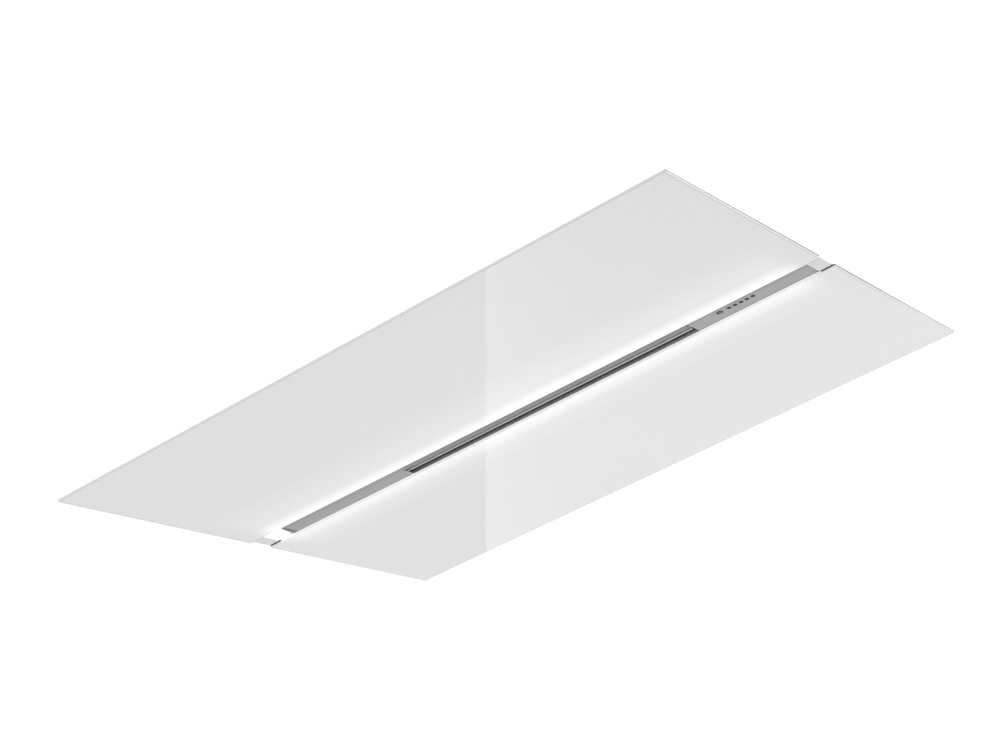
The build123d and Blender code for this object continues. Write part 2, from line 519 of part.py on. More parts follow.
def pan():
    p = bx(-PAN_X, PAN_X, PAN_Y0, PAN_Y1, GLASS_T, PAN_TOP)
    p -= bx(-PAN_X + PAN_T, PAN_X - PAN_T, PAN_Y0 + PAN_T, PAN_Y1 - PAN_T, GLASS_T + PAN_T, PAN_TOP + 1)
    p += bx(-PAN_X, PAN_X, PAN_Y0, PAN_Y0 + 16, PAN_TOP - PAN_T, PAN_TOP)
    for x in HINGE_XS:
        p -= bx(x - 27, x + 27, PAN_Y1 - 2, PAN_Y1 + 1, GLASS_T + PAN_T, PAN_TOP + 1)
    # pressed stiffening ribs across the pan
    for x in (-320, -160, 160, 320):
        p += bx(x - 0.4, x + 0.4, PAN_Y0 + PAN_T, PAN_Y1 - PAN_T, GLASS_T + PAN_T, 10)
    return p


def hinge_leaf(x):
    l = bx(x - 25, x + 25, 352, 393.8, GLASS_T + PAN_T, 6.0)
    for a, b in ((-25, -10), (10, 25)):
        l += bx(x + a, x + b, 393, HINGE_Y, GLASS_T + PAN_T, 6.0)
        l += cx(x + a, x + b, HINGE_Y, HINGE_Z, HINGE_RING)
    l -= cx(x - 30, x + 30, HINGE_Y, HINGE_Z, HINGE_PIN_R + HINGE_PLAY)
    return l


def hinge_bracket(x):
    b = bx(x - 25, x + 25, 382.5, 394.0, 8.8, FLANGE_Z)
    b += bx(x - 9.5, x + 9.5, 393, HINGE_Y, 8.0, FLANGE_Z)
    b += cx(x - 9.5, x + 9.5, HINGE_Y, HINGE_Z, HINGE_RING)
    b -= bx(x - 10, x + 10, HINGE_Y, HINGE_Y + 5, 9.1, 12)
    b -= cx(x - 30, x + 30, HINGE_Y, HINGE_Z, HINGE_PIN_R)
    return b


def led_profile():
    p = bx(-LED_X, LED_X, LED_Y0, LED_Y1, GLASS_T, LED_TOP)
    p -= bx(-LED_X - 1, LED_X + 1, LED_Y0 + 1, LED_Y1 - 1, GLASS_T - 1, LED_TOP - 1)
    return p


def led_strip():
    s = bx(-LED_X + 4, LED_X - 4, LED_Y0 + 2, LED_Y1 - 2, LED_TOP - 1.6, LED_TOP - 1)
    n = 56
    for k in range(n):
        x = -LED_X + 12 + (2 * LED_X - 24) * k / (n - 1)
        s += bx(x - 1.4, x + 1.4, (LED_Y0 + LED_Y1) / 2 - 1.75, (LED_Y0 + LED_Y1) / 2 + 1.75, LED_TOP - 2.4, LED_TOP - 1.5)
    return s


def led_diffuser():
    return bx(-LED_X + 1, LED_X - 1, LED_Y0 + 1, LED_Y1 - 1, GLASS_T, GLASS_T + 1.2)


for name, make in (("glass", glass), ("panel_pan", pan), ("led_profile", led_profile), ("led_strip", led_strip), ("led_diffuser", led_diffuser)):
    piece = make()
    save(name + "_back", piece)
    save(name + "_front", flip(piece))
leaves = [hinge_leaf(x) for x in HINGE_XS]
save("hinge_leaves_back", group(leaves))
save("hinge_leaves_front", group([flip(l) for l in leaves]))
held = [hinge_bracket(x) for x in HINGE_XS]
save("hinge_brackets", group(held + [flip(b) for b in held]))
pins = [cx(x - 25, x + 25, HINGE_Y, HINGE_Z, HINGE_PIN_R) for x in HINGE_XS]
save("hinge_pins", group(pins + [flip(p) for p in pins]))

# --- all screws in one node ------------------------------------------------------------------------
for p in BRACKET_SCREWS + FLANGE_SCREWS:
    screw(*p, (0, 0, -1))
for p, d in LID_SCREWS + COLLAR_SCREWS + DECK_SCREWS + RAIL_SCREWS + ELEC_SCREWS + MOTOR_SCREWS + VOLUTE_SCREWS:
    screw(*p, d)
save("housing_screws", group(screws))
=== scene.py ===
import json
import math
import random

import bmesh
import bpy
from mathutils import Matrix, Vector


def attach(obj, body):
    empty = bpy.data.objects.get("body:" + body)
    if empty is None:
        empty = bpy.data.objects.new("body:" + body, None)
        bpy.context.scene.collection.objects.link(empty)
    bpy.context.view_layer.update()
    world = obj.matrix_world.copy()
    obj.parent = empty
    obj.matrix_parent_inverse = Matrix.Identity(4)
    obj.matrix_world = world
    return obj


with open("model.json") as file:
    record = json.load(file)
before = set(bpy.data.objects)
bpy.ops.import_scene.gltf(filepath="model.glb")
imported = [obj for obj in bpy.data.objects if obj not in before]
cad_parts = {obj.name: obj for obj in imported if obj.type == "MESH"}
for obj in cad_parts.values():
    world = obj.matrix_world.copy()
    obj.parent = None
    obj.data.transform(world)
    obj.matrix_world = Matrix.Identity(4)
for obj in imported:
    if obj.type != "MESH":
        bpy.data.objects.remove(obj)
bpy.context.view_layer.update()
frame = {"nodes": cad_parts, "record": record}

MM = 0.001
N = frame["nodes"]
random.seed(11)

# ---------------------------------------------------------------------------
# camera: stands below and in front of the hood, at the photograph's angle
# ---------------------------------------------------------------------------
scene = bpy.context.scene
CAM_AT = (1379.38, -2293.50, -1107.84)
RIGHT = (0.805528, 0.544503, -0.233754)
DOWN = (-0.409317, 0.226061, -0.883943)
FORWARD = (-0.428467, 0.807721, 0.404973)
cam_data = bpy.data.cameras.new("camera")
cam = bpy.data.objects.new("camera", cam_data)
scene.collection.objects.link(cam)
turn = Matrix((
    (RIGHT[0], -DOWN[0], -FORWARD[0], CAM_AT[0] * MM),
    (RIGHT[1], -DOWN[1], -FORWARD[1], CAM_AT[1] * MM),
    (RIGHT[2], -DOWN[2], -FORWARD[2], CAM_AT[2] * MM),
    (0, 0, 0, 1),
))
cam.matrix_world = turn
cam_data.sensor_width = 36.0
cam_data.lens = 74.5435
cam_data.shift_x = -0.110
cam_data.shift_y = -0.035
cam_data.clip_start = 0.05
cam_data.clip_end = 200.0
scene.camera = cam
scene.view_settings.view_transform = "Standard"
scene.view_settings.look = "None"
scene.view_settings.exposure = 0.0
scene.view_settings.gamma = 1.0


# ---------------------------------------------------------------------------
# node helpers
# ---------------------------------------------------------------------------
class Mat:
    """A procedural material around one Principled shader, with short calls for its nodes."""

    def __init__(self, name, rough=0.5, metal=0.0, spec=0.5, ior=1.45):
        self.m = bpy.data.materials.new(name)
        self.m.use_nodes = True
        self.t = self.m.node_tree
        self.t.nodes.clear()
        self.out = self.t.nodes.new("ShaderNodeOutputMaterial")
        self.b = self.t.nodes.new("ShaderNodeBsdfPrincipled")
        self.t.links.new(self.b.outputs[0], self.out.inputs[0])
        self.b.inputs["Roughness"].default_value = rough
        self.b.inputs["Metallic"].default_value = metal
        self.b.inputs["Specular IOR Level"].default_value = spec
        self.b.inputs["IOR"].default_value = ior
        self.tc = self.t.nodes.new("ShaderNodeTexCoord")
        self.obj = self.tc.outputs["Object"]
        self.nrm = self.tc.outputs["Normal"]

    def set(self, **kw):
        for k, v in kw.items():
            self.b.inputs[k.replace("_", " ")].default_value = v
        return self

    def link(self, value, socket):
        if isinstance(value, (int, float)):
            socket.default_value = value
        elif isinstance(value, (tuple, list)):
            socket.default_value = (*value, 1.0) if len(value) == 3 and len(socket.default_value) == 4 else value
        else:
            self.t.links.new(value, socket)

    def to(self, value, name):
        self.link(value, self.b.inputs[name])

    def math(self, op, a, b=0.0, c=0.0, clamp=False):
        n = self.t.nodes.new("ShaderNodeMath")
        n.operation = op
        n.use_clamp = clamp
        self.link(a, n.inputs[0])
        self.link(b, n.inputs[1])
        self.link(c, n.inputs[2])
        return n.outputs[0]

    def xyz(self, v=None):
        n = self.t.nodes.new("ShaderNodeSeparateXYZ")
        self.t.links.new(v if v is not None else self.obj, n.inputs[0])
        return n.outputs[0], n.outputs[1], n.outputs[2]

    def vec(self, x, y, z):
        n = self.t.nodes.new("ShaderNodeCombineXYZ")
        for s, v in zip(n.inputs, (x, y, z)):
            self.link(v, s)
        return n.outputs[0]

    def scaled(self, sx, sy, sz, v=None):
        n = self.t.nodes.new("ShaderNodeMapping")
        self.t.links.new(v if v is not None else self.obj, n.inputs["Vector"])
        n.inputs["Scale"].default_value = (sx, sy, sz)
        return n.outputs[0]

    def noise(self, scale, detail=3.0, rough=0.5, v=None, distort=0.0):
        n = self.t.nodes.new("ShaderNodeTexNoise")
        self.t.links.new(v if v is not None else self.obj, n.inputs["Vector"])
        n.inputs["Scale"].default_value = scale
        n.inputs["Detail"].default_value = detail
        n.inputs["Roughness"].default_value = rough
        n.inputs["Distortion"].default_value = distort
        return n.outputs["Fac"]

    def voronoi(self, scale, feature="F1", v=None, out="Color", random_=1.0):
        n = self.t.nodes.new("ShaderNodeTexVoronoi")
        n.feature = feature
        self.t.links.new(v if v is not None else self.obj, n.inputs["Vector"])
        n.inputs["Scale"].default_value = scale
        n.inputs["Randomness"].default_value = random_
        return n.outputs[out]

    def ramp(self, fac, stops, interp="LINEAR"):
        n = self.t.nodes.new("ShaderNodeValToRGB")
        n.color_ramp.interpolation = interp
        el = n.color_ramp.elements
        while len(el) < len(stops):
            el.new(0.5)
        for e, (p, c) in zip(el, stops):
            e.position = p
            e.color = (*c, 1.0) if not isinstance(c, (int, float)) else (c, c, c, 1.0)
        self.link(fac, n.inputs[0])
        return n.outputs[0]

    def remap(self, value, a, b, c, d, smooth=False):
        n = self.t.nodes.new("ShaderNodeMapRange")
        n.interpolation_type = "SMOOTHSTEP" if smooth else "LINEAR"
        self.link(value, n.inputs["Value"])
        for k, x in (("From Min", a), ("From Max", b), ("To Min", c), ("To Max", d)):
            n.inputs[k].default_value = x
        return n.outputs[0]

    def mix(self, fac, a, b, blend="MIX"):
        n = self.t.nodes.new("ShaderNodeMix")
        n.data_type = "RGBA"
        n.blend_type = blend
        self.link(fac, n.inputs[0])
        for s, v in ((n.inputs[6], a), (n.inputs[7], b)):
            if isinstance(v, tuple):
                s.default_value = (*v, 1.0) if len(v) == 3 else v
            else:
                self.t.links.new(v, s)
        return n.outputs[2]

    def bump(self, height, strength=0.2, dist=0.001, into=None):
        n = self.t.nodes.new("ShaderNodeBump")
        n.inputs["Strength"].default_value = strength
        n.inputs["Distance"].default_value = dist
        self.link(height, n.inputs["Height"])
        if into is not None:
            self.t.links.new(into, n.inputs["Normal"])
        self.t.links.new(n.outputs[0], self.b.inputs["Normal"])
        return n.outputs[0]


# ---------------------------------------------------------------------------
# materials
# ---------------------------------------------------------------------------
EDGE_GLOW = 0.34
PANEL_LO, PANEL_HI = (0.852, 0.854, 0.856), (0.868, 0.870, 0.872)


def glass_material(name):
    """White glass painted on its back. The lamps behind its slot edge light it over about 90 mm."""
    M = Mat(name, rough=0.06, spec=0.5, ior=1.5)
    x, y, z = M.xyz()
    ay = M.math("ABSOLUTE", y)
    ax = M.math("ABSOLUTE", x)
    nx, ny, nz = M.xyz(M.nrm)
    side = M.math("LESS_THAN", M.math("ABSOLUTE", nz), 0.8)            # ground edges and their chamfers
    # the light bar ends a little short of the glass
    ends = M.remap(ax, 0.440, 0.484, 1.0, 0.0, smooth=True)
    at_back = M.math("GREATER_THAN", y, 0.0)
    near = M.math("ADD", M.remap(ay, 0.030, 0.056, 0.175, 0.0), M.remap(ay, 0.021, 0.150, 0.095, 0.0))
    across = M.math("ADD", M.remap(ay, 0.024, 0.062, 0.140, 0.0), M.remap(ay, 0.021, 0.110, 0.075, 0.0))
    glow = M.math("ADD", M.math("MULTIPLY", near, M.math("SUBTRACT", 1.0, at_back)), M.math("MULTIPLY", across, at_back))
    glow = M.math("MULTIPLY", glow, ends)
    inner = M.math("LESS_THAN", ay, 0.0225)
    edge_ends = M.remap(ax, 0.468, 0.482, 1.0, 0.45)
    flat_edge = M.math("MAXIMUM", M.math("LESS_THAN", M.math("ABSOLUTE", nz), 0.3), M.math("GREATER_THAN", z, 0.0034))
    # beside the end caps the upper half of this edge is in shade
    beside = M.math("MAXIMUM", M.math("GREATER_THAN", x, 0.4795), M.math("LESS_THAN", x, -0.4760))
    shade = M.math("MULTIPLY", beside, M.math("GREATER_THAN", z, 0.0017))
    open_edge = M.math("SUBTRACT", 1.0, shade)
    lit_edge = M.math("MULTIPLY", M.math("MULTIPLY", inner, flat_edge), M.math("MULTIPLY", edge_ends, open_edge))
    glow = M.math("MULTIPLY", glow, M.math("SUBTRACT", 1.0, M.math("MULTIPLY", side, 0.75)))
    total = M.math("ADD", glow, M.math("MULTIPLY", lit_edge, EDGE_GLOW))
    M.to(total, "Emission Strength")
    M.set(Emission_Color=(1.0, 0.998, 0.992, 1.0))
    cloud = M.noise(2.2, 2.0, 0.5)
    fine = M.noise(900.0, 2.0, 0.6)
    face = M.mix(M.remap(cloud, 0.3, 0.7, 0.0, 1.0), PANEL_LO, PANEL_HI)
    face = M.mix(M.remap(fine, 0.35, 0.65, 0.0, 0.05), face, (0.78, 0.785, 0.79))
    # painted shading: the back panel is made a touch lighter than the front one, and towards +x and the outer long
    # edges the back panel grows lighter and the front panel darker
    face = M.mix(at_back, face, (1.02, 1.02, 1.02), blend="MULTIPLY")
    painted_drift_shade = M.math("MULTIPLY", M.remap(x, -0.1, 0.5, 0.0, 1.0), M.remap(y, -0.4, 0.4, -0.03, 0.03))
    face = M.mix(1.0, face, M.math("ADD", 1.0, painted_drift_shade), blend="MULTIPLY")
    # painted shade: the faces are darkened in a band about 3 mm wide at the short ends, fully on the front panel and
    # near the slot, fading on the back panel towards its outer edge
    shade_rim = M.math("MULTIPLY", M.remap(ax, 0.4966, 0.4972, 0.0, 1.0), M.remap(y, 0.10, 0.28, 1.0, 0.2))
    face = M.mix(shade_rim, face, M.mix(1.0, face, (0.90, 0.90, 0.90), blend="MULTIPLY"))
    edge = M.mix(M.noise(420.0, 3.0), (0.66, 0.675, 0.672), (0.76, 0.772, 0.770))
    # the short edges carry a painted highlight on their lower, clear part and painted shade on their upper part towards
    # the painted back, darkest near the slot
    short = M.math("GREATER_THAN", M.math("ABSOLUTE", nx), 0.6)
    upper = M.remap(z, 0.0015, 0.0018, 0.0, 1.0, smooth=True)
    clear = M.mix(M.noise(420.0, 3.0), (0.93, 0.935, 0.935), (0.97, 0.97, 0.97))
    depth = M.math("MULTIPLY", M.remap(y, -0.36, 0.08, 0.55, 1.0), M.remap(y, 0.10, 0.30, 1.0, 0.25))
    painted_edge_shade = M.mix(depth, (0.55, 0.56, 0.56), (0.10, 0.104, 0.104))
    edge = M.mix(short, edge, M.mix(upper, clear, painted_edge_shade))
    edge = M.mix(M.math("MULTIPLY", inner, flat_edge), edge, M.mix(open_edge, (0.045, 0.047, 0.047), (0.85, 0.86, 0.86)))
    M.to(M.mix(side, face, edge), "Base Color")
    haze = M.noise(14.0, 4.0, 0.6)
    base_rough = M.remap(haze, 0.3, 0.7, 0.012, 0.030)
    M.to(M.math("ADD", base_rough, M.math("MULTIPLY", side, 0.28)), "Roughness")
    wave = M.noise(7.0, 1.0, 0.4)
    M.bump(wave, 0.05, 0.0006)
    return M.m


def spacer_material(name):
    """The caps' pale plastic; the end that faces the lit window carries its light."""
    M = Mat(name, rough=0.45)
    x, y, z = M.xyz()
    grain = M.noise(600.0, 3.0)
    M.to(M.mix(M.remap(grain, 0.3, 0.7, 0.0, 1.0), (0.74, 0.745, 0.745), (0.79, 0.795, 0.795)), "Base Color")
    M.to(M.remap(M.math("ABSOLUTE", x), 0.4780, 0.4790, 0.70, 0.0), "Emission Strength")
    M.set(Emission_Color=(1.0, 0.998, 0.992, 1.0))
    M.to(M.remap(grain, 0.3, 0.7, 0.40, 0.50), "Roughness")
    M.bump(grain, 0.1, 0.0002)
    return M.m


def powder_material(name, col=(0.80, 0.80, 0.79)):
    M = Mat(name, rough=0.42)
    peel = M.noise(900.0, 2.0, 0.5)
    cloud = M.noise(9.0, 3.0, 0.55)
    dark = tuple(c * 0.93 for c in col)
    M.to(M.mix(M.remap(cloud, 0.3, 0.7, 0.0, 1.0), dark, col), "Base Color")
    M.to(M.remap(M.noise(40.0, 3.0), 0.3, 0.7, 0.36, 0.5), "Roughness")
    M.bump(peel, 0.22, 0.0004)
    return M.m


def galvanised_material(name, base=0.56, scale=95.0, tint=(0.985, 1.0, 1.02)):
    """Zinc coated sheet: crystal flakes of slightly different grey, faint roll lines, a few dull smears."""
    M = Mat(name, metal=0.86, rough=0.38)
    wob = M.t.nodes.new("ShaderNodeVectorMath")
    wob.operation = "ADD"
    n3 = M.t.nodes.new("ShaderNodeTexNoise")
    n3.inputs["Scale"].default_value = 160.0
    n3.inputs["Detail"].default_value = 2.0
    M.t.links.new(M.obj, n3.inputs["Vector"])
    sc = M.t.nodes.new("ShaderNodeVectorMath")
    sc.operation = "SCALE"
    sc.inputs[3].default_value = 0.006
    M.t.links.new(n3.outputs["Color"], sc.inputs[0])
    M.t.links.new(M.obj, wob.inputs[0])
    M.t.links.new(sc.outputs[0], wob.inputs[1])
    cells = M.voronoi(scale, v=wob.outputs[0])
    cells2 = M.voronoi(scale * 2.3, v=wob.outputs[0])
    c1, c2, c3 = M.xyz(cells)
    d1, d2, d3 = M.xyz(cells2)
    flake = M.math("ADD", M.math("MULTIPLY", c1, 0.65), M.math("MULTIPLY", d1, 0.35))
    lo, hi = base * 0.80, base * 1.14
    col = M.mix(flake, tuple(lo * t for t in tint), tuple(hi * t for t in tint))
    smear = M.remap(M.noise(6.5, 5.0, 0.62, distort=0.6), 0.46, 0.74, 0.0, 0.5, smooth=True)
    col = M.mix(smear, col, tuple(base * 0.80 * t for t in (1.0, 1.0, 0.99)))
    M.to(col, "Base Color")
    r = M.math("ADD", M.remap(c2, 0.0, 1.0, 0.30, 0.46), M.math("MULTIPLY", smear, 0.16))
    M.to(r, "Roughness")
    h = M.math("ADD", M.math("MULTIPLY", c3, 0.6), M.math("MULTIPLY", M.noise(5.0, 1.0), 3.0))
    M.bump(h, 0.10, 0.0008)
    return M.m


def brushed_material(name, base=0.42, along="X", rough=0.3, grain=1.0, tint=(1.0, 1.0, 0.99)):
    M = Mat(name, metal=1.0, rough=rough)
    s = {"X": (6.0, 1500.0, 1500.0), "Y": (1500.0, 6.0, 1500.0), "Z": (1500.0, 1500.0, 6.0)}[along]
    v = M.scaled(*s)
    g1 = M.noise(1.0, 4.0, 0.65, v=v)
    s2 = tuple(a * 0.22 for a in s)
    g2 = M.noise(1.0, 3.0, 0.6, v=M.scaled(*s2))
    g = M.math("ADD", M.math("MULTIPLY", g1, 0.6), M.math("MULTIPLY", g2, 0.4))
    cloud = M.noise(16.0, 3.0, 0.55)
    lo, hi = base * 0.86, base * 1.12
    col = M.mix(M.remap(g, 0.32, 0.68, 0.0, 1.0), tuple(lo * t for t in tint), tuple(hi * t for t in tint))
    col = M.mix(M.remap(cloud, 0.35, 0.7, 0.0, 0.35), col, tuple(base * 0.9 * t for t in tint))
    M.to(col, "Base Color")
    M.to(M.remap(g, 0.3, 0.7, rough - 0.06, rough + 0.08), "Roughness")
    M.bump(g, 0.12 * grain, 0.0003)
    return M.m


def strip_material(name):
    """Brushed strip in three lengths: the bar beside the opening is duller, its folded lip carries a painted highlight,
    the end tab is in shade.
    """
    M = Mat(name, metal=1.0, rough=0.46)
    x, y, z = M.xyz()
    g1 = M.noise(1.0, 4.0, 0.65, v=M.scaled(6.0, 1500.0, 1500.0))
    g2 = M.noise(1.0, 3.0, 0.6, v=M.scaled(1.5, 330.0, 330.0))
    g = M.math("ADD", M.math("MULTIPLY", g1, 0.6), M.math("MULTIPLY", g2, 0.4))
    cloud = M.noise(16.0, 3.0, 0.55)
    col = M.mix(M.remap(g, 0.32, 0.68, 0.0, 1.0), (0.405, 0.409, 0.406), (0.530, 0.535, 0.532))
    col = M.mix(M.remap(cloud, 0.35, 0.7, 0.0, 0.35), col, (0.425, 0.429, 0.426))
    # the panel's edge shades the strip's near side
    near = M.ramp(M.remap(y, -0.0130, 0.0030, 0.0, 1.0), [(0.0, 0.66), (0.25, 0.86), (0.6, 0.97), (1.0, 1.0)])
    col = M.mix(1.0, col, near, blend="MULTIPLY")
    on_bar = M.math("MULTIPLY", M.math("GREATER_THAN", x, -0.216), M.math("LESS_THAN", x, 0.287))
    col = M.mix(on_bar, col, (0.74, 0.74, 0.74), blend="MULTIPLY")
    # painted highlight: the folded lip beside the opening is given a much brighter base colour
    lip_highlight = M.math("MULTIPLY", on_bar, M.math("GREATER_THAN", y, 0.00035))
    col = M.mix(lip_highlight, col, M.mix(g, (0.80, 0.805, 0.80), (0.90, 0.905, 0.90)))
    tab = M.math("LESS_THAN", x, -0.4432)
    shade = M.ramp(M.remap(x, -0.457, -0.443, 0.0, 1.0), [(0.0, 0.90), (0.35, 0.66), (0.70, 0.42), (0.80, 0.34), (1.0, 0.44)])
    col = M.mix(tab, col, M.mix(1.0, col, shade, blend="MULTIPLY"))
    # the bent end takes light from the window below it
    tip = M.math("MULTIPLY", tab, M.remap(x, -0.457, -0.4490, 1.0, 0.0, smooth=True))
    col = M.mix(tip, col, (0.86, 0.865, 0.865))
    M.to(col, "Base Color")
    M.to(M.remap(g, 0.3, 0.7, 0.40, 0.54), "Roughness")
    M.bump(g, 0.12, 0.0003)
    return M.m


def power_material(name):
    """Steel cap with a dark ring, open towards the back, and a short tick in the gap."""
    M = Mat(name, rough=0.42)
    x, y, z = M.xyz()
    dx = M.math("SUBTRACT", x, 0.3334)
    r = M.math("SQRT", M.math("ADD", M.math("MULTIPLY", dx, dx), M.math("MULTIPLY", y, y)))
    ring = M.remap(r, 0.0021, 0.0026, 0.0, 1.0)
    ax = M.math("ABSOLUTE", M.math("SUBTRACT", x, 0.3328))
    gap = M.math("MULTIPLY", M.math("LESS_THAN", ax, 0.0016), M.math("GREATER_THAN", y, 0.0014))
    tick = M.math("MULTIPLY", M.math("LESS_THAN", ax, 0.0004), M.math("GREATER_THAN", y, 0.0008))
    dark = M.math("MAXIMUM", M.math("MULTIPLY", ring, M.math("SUBTRACT", 1.0, gap)), tick)
    top = M.math("GREATER_THAN", z, 0.0047)                            # the cap's side stays dark
    dark = M.math("MAXIMUM", dark, top)
    steel = M.mix(M.noise(1.0, 3.0, 0.6, v=M.scaled(8.0, 1400.0, 1400.0)), (0.22, 0.223, 0.222), (0.32, 0.323, 0.322))
    M.to(M.mix(dark, steel, (0.028, 0.029, 0.030)), "Base Color")
    M.to(M.math("SUBTRACT", 1.0, dark), "Metallic")
    M.to(M.remap(M.noise(700.0, 2.0), 0.3, 0.7, 0.38, 0.5), "Roughness")
    M.bump(M.noise(900.0, 2.0), 0.08, 0.0003)
    return M.m


def profile_material(name):
    """Anodised light channel. The wall beside the slot catches some of its own lamps' light."""
    M = Mat(name, metal=0.9, rough=0.36)
    x, y, z = M.xyz()
    fine = M.noise(1.0, 3.0, 0.6, v=M.scaled(10.0, 900.0, 900.0))
    M.to(M.mix(M.remap(fine, 0.3, 0.7, 0.0, 1.0), (0.60, 0.61, 0.62), (0.72, 0.725, 0.735)), "Base Color")
    wall = M.math("LESS_THAN", M.math("ABSOLUTE", y), 0.0236)
    M.set(Emission_Color=(1.0, 0.995, 0.985, 1.0))
    M.to(M.math("MULTIPLY", wall, M.remap(M.noise(45.0, 3.0), 0.3, 0.7, 0.035, 0.075)), "Emission Strength")
    M.to(M.remap(fine, 0.3, 0.7, 0.30, 0.44), "Roughness")
    M.bump(fine, 0.10, 0.0003)
    return M.m


def satin_metal(name, base=0.62, rough=0.34, tint=(1.0, 1.0, 1.01)):
    M = Mat(name, metal=0.95, rough=rough)
    fine = M.noise(700.0, 3.0, 0.6)
    cloud = M.noise(22.0, 3.0, 0.55)
    lo, hi = base * 0.9, base * 1.06
    M.to(M.mix(M.remap(cloud, 0.3, 0.7, 0.0, 1.0), tuple(lo * t for t in tint), tuple(hi * t for t in tint)), "Base Color")
    M.to(M.remap(fine, 0.3, 0.7, rough - 0.05, rough + 0.07), "Roughness")
    M.bump(fine, 0.10, 0.0003)
    return M.m


def plastic_material(name, col, rough=0.5, tex=650.0, strength=0.25, var=0.10):
    M = Mat(name, rough=rough)
    grain = M.noise(tex, 2.0, 0.55)
    cloud = M.noise(18.0, 3.0, 0.55)
    lo = tuple(c * (1 - var) for c in col)
    hi = tuple(min(1.0, c * (1 + var * 0.6)) for c in col)
    M.to(M.mix(M.remap(cloud, 0.3, 0.7, 0.0, 1.0), lo, hi), "Base Color")
    M.to(M.remap(grain, 0.3, 0.7, rough - 0.06, rough + 0.1), "Roughness")
    M.bump(grain, strength, 0.0003)
    return M.m


def mesh_plate_material(name):
    """The inner layers of the filter: crossed strands seen through the outer layer, given a near-black colour as
    painted shade for the depth of the layers.
    """
    M = Mat(name, metal=0.8, rough=0.45)
    x, y, z = M.xyz()
    a = M.math("SINE", M.math("MULTIPLY", M.math("ADD", x, M.math("MULTIPLY", y, 2.0)), 1500.0))
    b = M.math("SINE", M.math("MULTIPLY", M.math("SUBTRACT", x, M.math("MULTIPLY", y, 2.0)), 1390.0))
    lines = M.math("MAXIMUM", a, b)
    f = M.remap(lines, 0.2, 0.95, 0.0, 1.0, smooth=True)
    # painted shade: strands and plate get a near-black colour for the shade deep in the layered mesh
    col = M.mix(f, (0.035, 0.036, 0.038), (0.17, 0.175, 0.18))
    col = M.mix(M.remap(M.noise(60.0, 3.0), 0.35, 0.65, 0.0, 0.35), col, (0.05, 0.05, 0.05))
    M.to(col, "Base Color")
    M.to(M.remap(M.noise(300.0, 2.0), 0.3, 0.7, 0.38, 0.6), "Roughness")
    M.bump(f, 0.5, 0.0008)
    return M.m


def board_material(name):
    M = Mat(name, rough=0.38)
    x, y, z = M.xyz()
    br = M.t.nodes.new("ShaderNodeTexBrick")
    M.t.links.new(M.scaled(1, 1, 1), br.inputs["Vector"])
    br.inputs["Scale"].default_value = 140.0
    br.inputs["Mortar Size"].default_value = 0.03
    br.inputs["Color1"].default_value = (0.02, 0.12, 0.05, 1)
    br.inputs["Color2"].default_value = (0.03, 0.16, 0.07, 1)
    br.inputs["Mortar"].default_value = (0.07, 0.25, 0.12, 1)
    up = M.remap(z, 0.1197, 0.1201, 0.0, 1.0)
    parts = M.mix(M.voronoi(60.0, out="Distance"), (0.03, 0.03, 0.035), (0.10, 0.10, 0.12))
    M.to(M.mix(up, br.outputs[0], parts), "Base Color")
    M.to(M.remap(M.noise(200.0), 0.3, 0.7, 0.3, 0.5), "Roughness")
    M.bump(M.noise(500.0), 0.15, 0.0003)
    return M.m


def led_board_material(name):
    M = Mat(name, rough=0.5)
    x, y, z = M.xyz()
    pads = M.remap(M.math("SINE", M.math("MULTIPLY", x, 370.0)), 0.9, 0.98, 0.0, 1.0)
    M.to(M.mix(pads, (0.86, 0.86, 0.84), (0.75, 0.6, 0.25)), "Base Color")
    M.set(Emission_Color=(1.0, 0.98, 0.94, 1.0))
    M.to(M.remap(M.noise(30.0), 0.3, 0.7, 0.8, 1.2), "Emission Strength")
    M.to(M.remap(M.noise(300.0), 0.3, 0.7, 0.4, 0.55), "Roughness")
    return M.m


def opal_material(name, power=1.6, lamps=373.0):
    """Opal plastic lit from behind; each lamp shows as a soft brighter patch."""
    M = Mat(name, rough=0.55)
    x, y, z = M.xyz()
    spots = M.math("MULTIPLY", M.math("ADD", M.math("COSINE", M.math("MULTIPLY", x, lamps)), 1.0), 0.5)
    M.to(M.mix(M.noise(80.0), (0.88, 0.88, 0.86), (0.93, 0.93, 0.92)), "Base Color")
    M.set(Emission_Color=(1.0, 0.99, 0.97, 1.0))
    # the end window fades towards the strip
    fade = M.remap(x, -0.4730, -0.4525, 1.0, 0.0, smooth=True)
    end = M.math("LESS_THAN", M.math("ABSOLUTE", y), 0.0228)
    level = M.mix(end, (1.0, 1.0, 1.0), fade)
    M.to(M.math("MULTIPLY", M.remap(spots, 0.0, 1.0, power * 0.85, power * 1.15), level), "Emission Strength")
    M.to(M.remap(M.noise(500.0), 0.3, 0.7, 0.5, 0.62), "Roughness")
    M.bump(M.noise(700.0, 2.0), 0.1, 0.0003)
    return M.m


